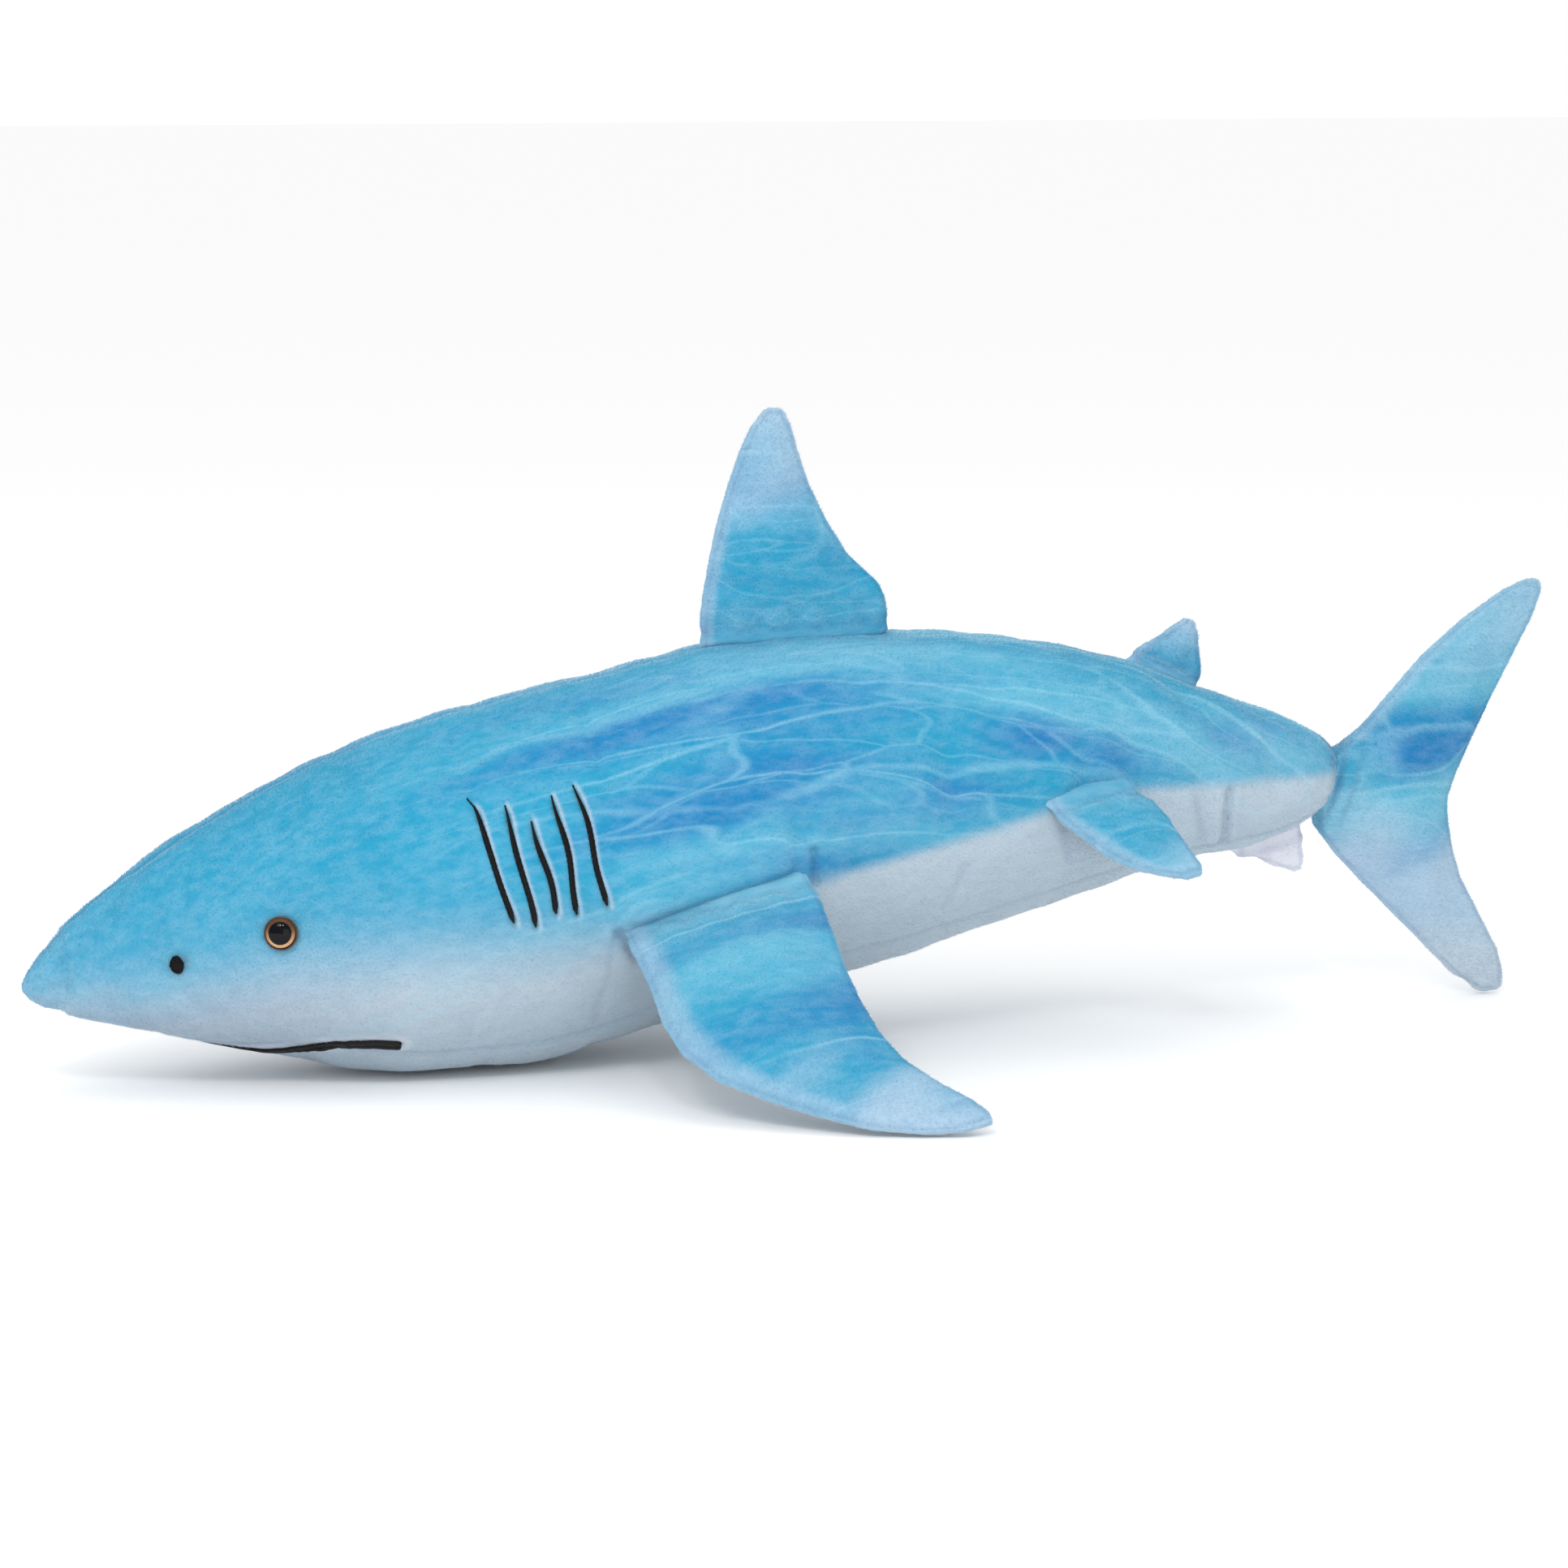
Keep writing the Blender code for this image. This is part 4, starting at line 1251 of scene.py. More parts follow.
@dataclass
class BodySkin:
    """The printed cover of the body, from the nose to the neck of the tail.

    Attributes:
        eyes: The eyes set into it.
        stitching: The gills, mouth and nostrils worked on it.
        fins: The fins sewn to it.
        spacing: The usual distance between rings.
        fine: Stretches of x with a closer spacing, as (start, end, spacing).
        ring_points: How many points go round.
        undersize: How much smaller the cut cover is than the CAD model before it is stuffed.
        nose_round: The length of the nose's round end.
        nose_drop: How far the nose's middle hangs below the CAD model's.
        neck_height: The height of the cover's middle at the neck of the tail.
        fairing: The length over which the shape is averaged.
        lean_start: The x from which the rings lean back.
        lean: The last ring's lean, as a slope.
        belly_seam: The belly seams' angle from the middle of the belly.
        belly_seam_start: The x at which the belly seams part.
        pad_cap: How far stuffing may push the cover.
        bend_half: Half the length that would bend at the body's joint; not used.
        seam_draw: How far the seams are drawn in.
        seam_width: How wide their grooves are.
        pucker: The height of the puckers beside the seams.
        pucker_step: The distance between puckers.
        lump: The height of the stuffing's lumps.
        fibres: How many fibres its pile has.
        pile_parts: How many pieces the pile is grown in.
        nodes: The CAD nodes that the cover stands for.
    """

    eyes: list[Eye]
    stitching: list[Stitching]
    fins: list[FinSkin]
    spacing: float = 0.0050
    fine: tuple[Point, ...] = (
        (-0.501, -0.476, 0.0012),
        (-0.428, -0.408, 0.0022),
        (-0.252, -0.160, 0.0017),
        (0.335, 0.350, 0.0014),
    )
    ring_points: int = 96
    undersize: float = 0.0022
    nose_round: float = 0.0160
    nose_drop: float = 0.0022
    neck_height: float = 0.1500
    fairing: float = 0.014
    lean_start: float = 0.25
    lean: float = 0.28
    belly_seam: float = math.radians(35)
    belly_seam_start: float = -0.4593
    pad_cap: float = 0.0045
    bend_half: float = 0.038
    seam_draw: float = 0.0011
    seam_width: float = 0.0030
    pucker: float = 0.0002
    pucker_step: float = 0.011
    lump: float = 0.0006
    fibres: int = 168000
    pile_parts: int = 4
    nodes: tuple[str, ...] = (
        "side_panel_left_front",
        "side_panel_right_front",
        "belly_panel_front",
        "side_panel_left_rear",
        "side_panel_right_rear",
        "belly_panel_rear",
    )

    def __post_init__(self) -> None:
        """Measures the CAD body."""
        self.shell = CadShell(self.nodes)
        self.nose = float(self.shell.points[:, 0].min())
        self.end = float(self.shell.points[:, 0].max())
        self.stations = self.lay_out_stations()
        middles = np.array([self.middle_at(x) for x in self.stations])
        known = ~np.isnan(middles) & (self.stations < REAR_END[0][0])
        self.middles = np.interp(
            self.stations, [*self.stations[known], self.end], [*middles[known], self.neck_height]
        )
        for _ in range(6):
            self.middles[1:-1] = (self.middles[:-2] + 2 * self.middles[1:-1] + self.middles[2:]) / 4
        self.middles = self.faired(self.middles)
        near_nose = smooth_ramp(self.stations, self.nose + 0.065, self.nose + 0.025)
        self.middles -= self.nose_drop * near_nose

    def lay_out_stations(self) -> Array:
        """The x of each ring, closer together where the cover carries fine work."""
        found = [self.nose + 0.0004]
        while found[-1] < self.end - 0.0004:
            steps = [step for start, stop, step in self.fine if start <= found[-1] <= stop]
            found.append(found[-1] + min(steps, default=self.spacing))
        found[-1] = self.end - 0.0004
        return np.array(found)

    def middle_at(self, x: float) -> float:
        """The height of the body's middle at x, or NaN past its ends."""
        tops, bottoms = [], []
        for shift in (-0.003, 0.0, 0.003):
            place = np.clip(x + shift, self.nose + 0.0006, self.end - 0.0006)
            for beside_seam in (0.003, 0.006, 0.010):
                down = self.shell.reach(np.array([place, beside_seam, 1.0]), np.array([0, 0, -1.0]))
                up = self.shell.reach(np.array([place, beside_seam, -1.0]), np.array([0, 0, 1.0]))
                if down is not None and up is not None:
                    tops.append(1.0 - down)
                    bottoms.append(up - 1.0)
        return (max(tops) + min(bottoms)) / 2 if tops else math.nan

    def lean_at(self, x: Array) -> Array:
        """How far back a ring leans at x, as a slope."""
        return self.lean * np.clip((x - self.lean_start) / (self.end - self.lean_start), 0, 1)

    def rings(self) -> Array:
        """The cut cover's rings, read from the CAD model's surface and smoothed."""
        turns = np.linspace(0, 2 * math.pi, self.ring_points, endpoint=False)
        radii = np.full((len(self.stations), len(turns)), np.nan)
        ups = []
        for row, (x, middle) in enumerate(zip(self.stations, self.middles)):
            up = unit(np.array([float(self.lean_at(x)), 0.0, 1.0]))
            ups.append(up)
            for column, turn in enumerate(turns):
                reaches = []
                for ease, shift in ((0.0, 0.0), (0.025, 0.0), (-0.025, 0.0), (0.0, 0.0025), (0.0, -0.0025)):
                    away = math.cos(turn + ease) * up + np.array([0, -math.sin(turn + ease), 0])
                    centre = np.array([x + shift, 0.0, middle])
                    reach = self.shell.reach(centre + away, -away)
                    if reach is not None and reach < 1.0:
                        reaches.append(1.0 - reach)
                if len(reaches) > 1:
                    radii[row, column] = sorted(reaches)[-2]
        for column in range(len(turns)):
            known = ~np.isnan(radii[:, column])
            radii[:, column] = np.interp(self.stations, self.stations[known], radii[known, column])
        radii = self.faired(relax(radii, 3, ring=True))
        held = smooth_ramp(self.stations, self.nose + 0.03, self.nose + 0.08)
        held *= smooth_ramp(self.stations, self.end - 0.02, self.end - 0.06)
        radii -= self.undersize * held[:, None]
        self.round_ends(radii)
        self.gather_neck(radii, turns)
        ups = np.array(ups)
        away = np.cos(turns)[None, :, None] * ups[:, None, :]
        away = away + np.stack([0 * turns, -np.sin(turns), 0 * turns], axis=1)[None]
        centres = np.stack([self.stations, 0 * self.stations, self.middles], axis=1)
        return centres[:, None, :] + radii[..., None] * away

    def faired(self, values: Array) -> Array:
        """Values at the stations, averaged over a few centimetres except near the nose and the end.

        Args:
            values: A row of values, or a single one, for each station.

        Returns:
            The averaged values.
        """
        weights = bell(self.stations[:, None] - self.stations[None], self.fairing)
        weights *= np.gradient(self.stations)[None]
        weights /= weights.sum(1, keepdims=True)
        free = smooth_ramp(self.stations, self.nose + 0.035, self.nose + 0.085)
        free *= smooth_ramp(self.stations, self.end - 0.02, self.end - 0.05)
        free = free.reshape(-1, *[1] * (values.ndim - 1))
        return values + free * (weights @ values - values)

    def round_ends(self, radii: Array) -> None:
        """Closes the nose with a round end, and draws the rear in to the neck of the tail."""
        start = self.nose + self.nose_round
        row = int(np.argmin(np.abs(self.stations - start)))
        inside = self.stations < start
        share = np.clip((start - self.stations[inside]) / self.nose_round, 0, 1)
        radii[inside] = radii[row][None] * np.sqrt(1 - share**2)[:, None]
        radii *= np.interp(self.stations - self.nose, *np.array(NOSE_END).T)[:, None]
        row = int(np.argmin(np.abs(self.stations - REAR_END[0][0])))
        inside = self.stations > self.stations[row]
        radii[inside] = radii[row][None] * np.interp(self.stations[inside], *np.array(REAR_END).T)[:, None]

    def gather_neck(self, radii: Array, turns: Array) -> None:
        """Puckers the cover where it is drawn together at the neck of the tail."""
        near = smooth_ramp(self.stations, self.end - 0.035, self.end - 0.004)
        pucker = np.sin(11 * turns + 0.7) * 0.6 + np.sin(17 * turns) * 0.4
        radii += 0.0011 * near[:, None] * pucker[None]

    def cut(self) -> Object:
        """The cover before it is stuffed."""
        poles = (np.array([self.nose, 0, self.middles[0]]), np.array([self.end, 0, self.middles[-1]]))
        return sleeve("body_cut", self.rings(), poles)

    def turn_of(self, points: Array) -> Array:
        """Each point's angle from the back seam, from 0 at the top to half a turn at the bottom."""
        middle = np.interp(points[:, 0], self.stations, self.middles)
        return np.arctan2(np.abs(points[:, 1]), points[:, 2] - middle)

    def seam_distance(self, points: Array) -> tuple[Array, Array]:
        """The distance of each point from the back seam and from the nearer belly seam."""
        middle = np.interp(points[:, 0], self.stations, self.middles)
        radius = np.hypot(points[:, 1], points[:, 2] - middle)
        turn = self.turn_of(points)
        back = np.abs(turn) * radius
        opening = self.belly_seam * smooth_ramp(points[:, 0], self.belly_seam_start, -0.3192)
        belly = np.abs(math.pi - turn - opening) * radius
        belly[points[:, 0] < self.belly_seam_start] = 1.0
        return back, belly

    def sewn(self, cover: Object) -> Array:
        """Where the seams and the ends hold the cover while it is stuffed."""
        points = points_of(cover.data)
        back, belly = self.seam_distance(points)
        hold = np.maximum(bell(back, 0.005), bell(belly, 0.005))
        front = smooth_ramp(points[:, 0], self.nose + 0.02, self.nose)
        rear = smooth_ramp(points[:, 0], self.end - 0.03, self.end)
        resting = smooth_ramp(points[:, 2], 0.006, 0.002)
        return np.clip(np.maximum.reduce([hold, front, rear, resting]), 0, 1)

    def finish_shape(self, skin: Object) -> None:
        """Draws in seams and eyes, adds folds and the stuffing's lumps, and rests the belly on the floor."""
        points, normals = points_of(skin.data), normals_of(skin.data)
        back, belly = self.seam_distance(points)
        before_neck = smooth_ramp(points[:, 0], self.end - 0.004, self.end - 0.03)
        after_nose = smooth_ramp(points[:, 0], self.nose + 0.004, self.nose + 0.04)
        seams = self.seam_draw * (bell(back, self.seam_width) + 0.8 * bell(belly, self.seam_width))
        puckers = self.pucker * np.sin(points[:, 0] * 2 * math.pi / self.pucker_step)
        puckers *= bell(back, 0.009) + bell(belly, 0.009)
        wave = points * np.array([26.0, 34.0, 34.0])
        lumps = np.sin(wave[:, 0] + 2.1 * np.sin(wave[:, 2] * 0.7))
        lumps *= np.sin(wave[:, 1] + 1.3 * np.sin(wave[:, 0] * 0.6))
        lumps *= self.lump * before_neck * smooth_ramp(points[:, 0], -0.30, -0.02)
        move = lumps + (puckers - seams) * before_neck * after_nose
        for line, width, depth in FOLDS:
            distance = line_distance(points, line)
            move += depth * (0.55 * bell(distance - 1.9 * width, width * 1.3) - bell(distance, width))
        for fin in self.fins:
            move += fin.swell(points)
        for eye in self.eyes:
            move -= eye.seat_depth * bell(np.linalg.norm(points - eye.centre, axis=1), 1.35 * eye.radius)
        points = points + move[:, None] * normals
        points[:, 2] = np.maximum(points[:, 2], 0.0004)
        set_points(skin.data, points)

    def lay(self, points: Array) -> Array:
        """Each point's place on the print: along the body, round it, and a share of its side."""
        middle = np.interp(points[:, 0], self.stations, self.middles)
        around = self.turn_of(points) * np.hypot(points[:, 1], points[:, 2] - middle)
        return np.stack([points[:, 0], around, 0.7 * points[:, 1]], axis=1)

    def shade(self, points: Array) -> Array:
        """How far each point is above the waterline, how pale it is, and how strong the ripples are."""
        x, above = points[:, 0], points[:, 2] - np.interp(points[:, 0], *np.array(WATERLINE).T)
        softness = np.interp(x, (-0.40, -0.20, -0.10, 0.0), (0.030, 0.036, 0.016, 0.006))
        lively = 0.12 + 0.88 * smooth_ramp(x, -0.34, -0.12)
        lively *= 0.35 + 0.65 * smooth_ramp(above, -0.01, 0.03)
        tint = 0.15 * smooth_ramp(x, 0.16, 0.30) * smooth_ramp(points[:, 2], 0.215, 0.170)
        tint += 0.18 * smooth_ramp(x, -0.18, -0.30) * smooth_ramp(above, 0.07, 0.0)
        return np.stack([above / softness, tint, lively], axis=1)

    def creases(self, points: Array) -> Array:
        """How dark the painted shade is in the cloth's seams and folds, round the eyes, at the neck and under the
        jaw.
        """
        x, above = points[:, 0], points[:, 2] - np.interp(points[:, 0], *np.array(WATERLINE).T)
        back, belly = self.seam_distance(points)
        crease_shade = 0.5 * bell(back, 0.0022) + 0.35 * bell(belly, 0.0022)
        crease_shade += 0.8 * smooth_ramp(x, self.end - 0.012, self.end - 0.002)
        crease_shade += 0.40 * smooth_ramp(x, -0.26, -0.42) * smooth_ramp(above, 0.01, -0.02)
        for line, width, depth in FOLDS:
            crease_shade += 0.8 * bell(line_distance(points, line), width * 0.8) * min(1.0, depth / 0.003)
        for eye in self.eyes:
            away = np.linalg.norm(points - eye.centre, axis=1)
            crease_shade += 0.7 * bell(away - 1.05 * eye.radius, 0.0016)
        return np.clip(crease_shade, 0, 1)

    def depth(self, points: Array) -> Array:
        """Where the print is deep blue."""
        depth = np.zeros(len(points))
        for x, z, reach, rise, strength in DEEP_WATER:
            apart = np.square((points[:, 0] - x) / reach) + np.square((points[:, 2] - z) / rise)
            depth = np.maximum(depth, strength * np.exp(-apart))
        return depth

    def store_print(self, skin: Object) -> None:
        """Stores how the print lies, where embroidery marks it, the painted shade of seams and folds, and where no
        pile stands.
        """
        points, normals = points_of(skin.data), normals_of(skin.data)
        bare = smooth_ramp(points[:, 2], 0.010, 0.004)
        for eye in self.eyes:
            away = np.linalg.norm(points - eye.centre, axis=1)
            bare = np.maximum(bare, smooth_ramp(away, 1.35 * eye.radius, 1.15 * eye.radius))
        marks = np.zeros((len(points), 3))
        for stitching in self.stitching:
            ink, blush, cover = stitching.marks(points)
            marks[:, 0] = np.maximum(marks[:, 0], ink)
            marks[:, 1] = np.maximum(marks[:, 1], blush)
            bare = np.maximum(bare, cover)
        # Painted shade in seams, folds, the neck, under the jaw and round the eyes.
        marks[:, 2] = self.creases(points)
        lie = np.array([1.0, 0.0, 0.0]) - normals[:, :1] * normals
        store(skin.data, lay=self.lay(points), shade=self.shade(points), mark=marks)
        store(skin.data, depth=self.depth(points), nap=lie, bare=bare)

    def join(self, piece: Object) -> None:
        """Bakes the place of a piece of the cover into its mesh."""
        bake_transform(piece)


# ---------------------------------------------------------------- fins


@dataclass(frozen=True)
class FinDye:
    """How the print runs over one fin.

    Attributes:
        white: True for a fin without any blue.
        white_below: True for a fin whose lower face is white.
        fade: The shares of the span where the pale tip starts and is full.
        tip_tint: How pale the tip is.
        root_tint: How pale the root is.
        lead_band: The width of the painted sheen band on the leading edge, in metres.
        lively: How strong the ripples are.
        deep: How strong the deep blue is behind the middle.
    """

    white: bool = False
    white_below: bool = False
    fade: tuple[float, float] = (0.5, 1.0)
    tip_tint: float = 0.8
    root_tint: float = 0.0
    lead_band: float = 0.010
    lively: float = 0.8
    deep: float = 0.0


@dataclass
class FinSkin:
    """One sewn and stuffed fin.

    Attributes:
        name: The fin's body in the frame.
        parent: The body it is sewn to; not used.
        hinge: The joint between them.
        panels: The CAD panels, upper or left one first.
        dye: How the print runs over it.
        levels: How many rings it has from root to tip.
        ring_points: How many points each ring has, an even number.
        full_root: How far out the fin has its full thickness; from there to the root it keeps most of it.
        sunk: How far the fin reaches into the body.
        flare: How much thicker the root is where the cloth runs out over the body.
        flare_reach: The distance over which that falls to a third.
        flare_below: The lower face's share of the flare.
        bend: How far out the fin starts to follow its own body alone; not used.
        pad_cap: How far stuffing may push its cover.
        tip_round: The radius of the tip's outline.
        shoulder: How far the body swells above the root.
        root_share: The root's share of the full thickness.
        fibres: How many fibres its pile has.
        sunk_rings: How many rings reach into the body.
    """

    name: str
    parent: str
    hinge: str
    panels: tuple[str, str]
    dye: FinDye
    levels: int = 40
    ring_points: int = 64
    full_root: float = 0.020
    sunk: float = 0.012
    flare: float = 0.0030
    flare_reach: float = 0.0060
    flare_below: float = 1.0
    bend: float = 0.026
    pad_cap: float = 0.0022
    tip_round: float = 0.0090
    shoulder: float = 0.0
    root_share: float = 0.86
    fibres: int = 12000
    sunk_rings: int = 6

    def __post_init__(self) -> None:
        """Measures the fin's panels and finds its directions."""
        self.shell = CadShell(self.panels)
        self.root, self.chord = joint(self.hinge)
        if self.chord[0] < 0:
            self.chord = -self.chord
        self.out = self.find_out()
        self.across = np.cross(self.chord, self.out)
        first = CadShell(self.panels[:1]).points.mean(0)
        if (first - self.shell.points.mean(0)) @ self.across < 0:
            self.across = -self.across
        self.measure()

    def find_out(self) -> Array:
        """The direction from the root line to the tip."""
        away = self.shell.points.mean(0) - self.root
        return unit(away - (away @ self.chord) * self.chord)

    def local(self, points: Array) -> Array:
        """Points as chord, out and across coordinates from the root."""
        return (points - self.root) @ np.stack([self.chord, self.out, self.across], axis=1)

    def world(self, places: Array) -> Array:
        """Chord, out and across coordinates as points."""
        return self.root + places @ np.stack([self.chord, self.out, self.across])

    def measure(self) -> None:
        """Reads the outline and the thickness from the CAD panels."""
        spans = self.local(self.shell.points)[:, 1]
        self.first, self.last = max(0.0, float(spans.min())) + 0.0006, float(spans.max())
        self.heights = self.first + (self.last - self.first - 0.0006) * self.shares()
        base = float(self.root @ self.out)
        cuts = [self.local(self.shell.slice(self.out, base + height))[:, 0] for height in self.heights]
        self.fronts, self.rears = np.array([(cut.min(), cut.max()) for cut in cuts]).T
        self.ease_outline()

    def shares(self) -> Array:
        """The rings' shares of the fin's height, closer together at the tip."""
        share = np.linspace(0, 1, self.levels)
        return np.where(share > 0.6, 0.6 + 0.4 * np.sin((share - 0.6) / 0.4 * math.pi / 2), share)

    def ease_outline(self) -> None:
        """Gives the tip a round outline."""
        left = np.clip(self.last - self.heights, 0, self.tip_round)
        limit = np.sqrt(2 * self.tip_round * left - left**2) + 0.0006
        half = (self.rears - self.fronts) / 2
        middle = (self.rears + self.fronts) / 2
        half = np.where(left < self.tip_round, np.minimum(half, limit), half)
        self.fronts, self.rears = middle - half, middle + half

    def faces_at(self, place: float, height: float) -> tuple[float, float]:
        """The fin's upper and lower face at a place on its plan, as distances from the plan."""
        found = []
        for side in (1.0, -1.0):
            spot = self.world(np.array([place, height, side * 0.2]))
            reach = self.shell.reach(spot, -side * self.across)
            found.append(0.0 if reach is None or reach > 0.2 else 0.2 - reach)
        return found[0], found[1]

    def rings(self) -> Array:
        """The cut cover's rings: along the upper face from front to rear, and back along the lower one."""
        half = self.ring_points // 2
        share = (1 - np.cos(np.linspace(0, math.pi, half + 1))) / 2
        share = 0.5 * share + 0.5 * np.linspace(0, 1, half + 1)
        upper = np.zeros((self.levels, half + 1))
        lower = np.zeros((self.levels, half + 1))
        for row, height in enumerate(self.heights):
            width = self.rears[row] - self.fronts[row]
            for column, part in enumerate(share):
                faces = self.faces_at(self.fronts[row] + part * width, height)
                upper[row, column], lower[row, column] = faces
        profile = (4 * share * (1 - share)) ** 0.42
        deeper = -self.sunk * np.linspace(1.0, 0.15, self.sunk_rings)
        heights = np.concatenate([deeper, self.heights])
        first = np.zeros(self.sunk_rings, int)
        rows = np.concatenate([first, np.arange(self.levels)])
        under = np.clip(-heights / max(self.sunk, 1e-6), 0, 1)
        faces = []
        for face, part in ((upper, 1.0), (lower, self.flare_below)):
            self.keep_root_full(face, profile)
            face = 0.9 * relax(face, 2, ring=False)[rows]
            fading = np.exp(-np.maximum(heights, 0) / self.flare_reach)
            face += part * self.flare * fading[:, None] * profile[None]
            face *= (1 - 0.9 * smooth_ramp(under, 0.55, 1.0))[:, None]
            face[:, 0] = face[:, -1] = 0.0
            faces.append(face)
        fronts, rears = self.fronts[rows], self.rears[rows]
        row = int(np.searchsorted(self.heights, 0.15 * self.last))
        sweep = np.clip((self.fronts[row] - self.fronts[0]) / (self.heights[row] - self.heights[0]), 0.0, 0.9)
        fronts = fronts + sweep * np.minimum(heights, 0)
        rears = rears - 0.2 * smooth_ramp(under, 0.5, 1.0) * (rears - fronts)
        chord_place = fronts[:, None] + (rears - fronts)[:, None] * share[None]
        out_place = np.repeat(heights[:, None], half + 1, axis=1)
        top = np.stack([chord_place, out_place, faces[0]], axis=-1)
        bottom = np.stack([chord_place, out_place, -faces[1]], axis=-1)[:, -2:0:-1]
        return self.world(np.concatenate([top, bottom], axis=1))

    def keep_root_full(self, face: Array, profile: Array) -> None:
        """Gives the fin's base the fullness that it has further out, where the CAD panels are thinner."""
        row = int(np.searchsorted(self.heights, self.full_root))
        for nearer in range(row):
            ease = self.root_share + (1 - self.root_share) * self.heights[nearer] / self.full_root
            full = face[row].max() * profile * ease
            face[nearer] = np.maximum(face[nearer], full)

    def cut(self) -> Object:
        """The cover before it is stuffed."""
        rings = self.rings()
        tip = rings[-1].mean(0) + 0.0006 * self.out
        return sleeve(f"{self.name}_cut", rings, (rings[0].mean(0), tip))

    def edge_distance(self, places: Array) -> Array:
        """The distance of each place from the nearer hem, negative never."""
        front = np.interp(places[:, 1], self.heights, self.fronts)
        rear = np.interp(places[:, 1], self.heights, self.rears)
        sides = np.minimum(places[:, 0] - front, rear - places[:, 0])
        return np.maximum(np.minimum(sides, self.last - places[:, 1]), 0.0)

    def sewn(self, cover: Object) -> Array:
        """Where the hem and the root hold the cover while it is stuffed."""
        places = self.local(points_of(cover.data))
        hem = bell(self.edge_distance(places), 0.0022)
        root = smooth_ramp(places[:, 1], 0.010, 0.002)
        return np.clip(np.maximum(hem, root), 0, 1)

    def finish_shape(self, skin: Object) -> None:
        """Adds the hem's roll and puckers and the folds at the root."""
        points, normals = points_of(skin.data), normals_of(skin.data)
        places = self.local(points)
        edge = self.edge_distance(places)
        along = places[:, 1] + 0.6 * places[:, 0]
        pucker = 0.00022 * np.sin(along * 2 * math.pi / 0.0095) * bell(edge - 0.004, 0.004)
        groove = -0.0004 * bell(edge - 0.0032, 0.0016)
        near_root = smooth_ramp(places[:, 1], 0.030, 0.0) * smooth_ramp(places[:, 1], -0.004, 0.004)
        folds = 0.0011 * np.sin(places[:, 0] * 2 * math.pi / 0.023 + 1.1) * near_root
        wave = places * np.array([31.0, 27.0, 0.0])
        lumps = 0.0006 * np.sin(wave[:, 0] + 1.7 * np.sin(wave[:, 1])) * smooth_ramp(edge, 0.004, 0.018)
        gathers = -0.0016 * self.creases(places)
        points += (pucker + groove + folds + lumps + gathers)[:, None] * normals
        points[:, 2] = np.maximum(points[:, 2], 0.0006)
        set_points(skin.data, points)

    def store_print(self, skin: Object) -> None:
        """Stores how the print lies on the fin, with painted shade along the hem and in the root's crease."""
        points, normals = points_of(skin.data), normals_of(skin.data)
        places = self.local(points)
        offset = 0.11 * sum(map(ord, self.name)) % 3.0
        along, out, across = places.T
        blue = self.blueness(places)
        if self.dye.white_below:
            blue = 2.0 * np.clip((normals @ self.across + 0.10) / 0.25, -1, 1)
        if self.dye.white:
            blue = np.full(len(points), -2.0)
        # Painted shade in the groove beside the hem.
        hem = 0.4 * bell(self.edge_distance(places) - 0.0030, 0.0014)
        marks = np.zeros((len(points), 3))
        marks[:, 1] = float(self.dye.white)
        marks[:, 2] = np.clip(hem + self.creases(places), 0, 1)
        nap = self.nap_direction()
        store(
            skin.data,
            lay=np.stack([0.9 * along + 0.25 * out, out, offset + 0.7 * across], axis=1),
            shade=np.stack([blue, self.tint(places), np.full(len(points), self.dye.lively)], axis=1),
            mark=marks,
            depth=self.depth(places),
            nap=nap - (normals @ nap)[:, None] * normals,
            bare=np.maximum(smooth_ramp(out, 0.002, -0.003), smooth_ramp(points[:, 2], 0.006, 0.002)),
        )

    def swell(self, points: Array) -> Array:
        """How far the body's cover stands out at each point, filling the corner above the fin's root."""
        places = self.local(points)
        corner = bell(places[:, 1] + 0.004, 0.018) * smooth_ramp(places[:, 2], 0.0, 0.010)
        inside = smooth_ramp(places[:, 0], self.fronts[0] - 0.012, self.fronts[0] + 0.016)
        inside *= smooth_ramp(places[:, 0], self.rears[0] + 0.004, self.rears[0] - 0.016)
        return self.shoulder * corner * inside

    def creases(self, places: Array) -> Array:
        """Where the cloth is creased, from 0 to 1: along the root, where it both gathers the cover and sets the
        painted shade.
        """
        return 0.35 * bell(places[:, 1], 0.004)

    def blueness(self, places: Array) -> Array:
        """How far each place is on the blue side of the print, all of it on most fins."""
        return np.full(len(places), 2.0)

    def depth(self, places: Array) -> Array:
        """Where the print is deep blue: behind the middle, and along the rear edge."""
        rear = np.interp(places[:, 1], self.heights, self.rears)
        span = places[:, 1] / self.last
        window = smooth_ramp(span, 0.85, 0.55) * smooth_ramp(span, 0.10, 0.30)
        return self.dye.deep * bell(rear - places[:, 0] - 0.018, 0.016) * window

    def nap_direction(self) -> Array:
        """The way the pile is brushed: out and back."""
        return unit(0.7 * self.out + 0.7 * self.chord)

    def tint(self, places: Array) -> Array:
        """How pale the print is at each place, from the fades at tip and root, and the painted sheen along the
        leading edge.
        """
        span = places[:, 1] / self.last
        front = np.interp(places[:, 1], self.heights, self.fronts)
        wander = 0.10 * np.sin(places[:, 0] * 55 + 3 * np.sin(places[:, 1] * 40))
        tip = self.dye.tip_tint * smooth_ramp(span + wander, *self.dye.fade)
        root = self.dye.root_tint * smooth_ramp(span, 0.25, 0.0)
        behind = places[:, 0] - front + 0.004 * wander
        # Painted sheen: a pale band along the rounded leading edge.
        edge_sheen = 0.55 * smooth_ramp(behind, 1.3 * self.dye.lead_band, 0.5 * self.dye.lead_band)
        return np.clip(np.maximum.reduce([tip, root, edge_sheen]), 0, 1)

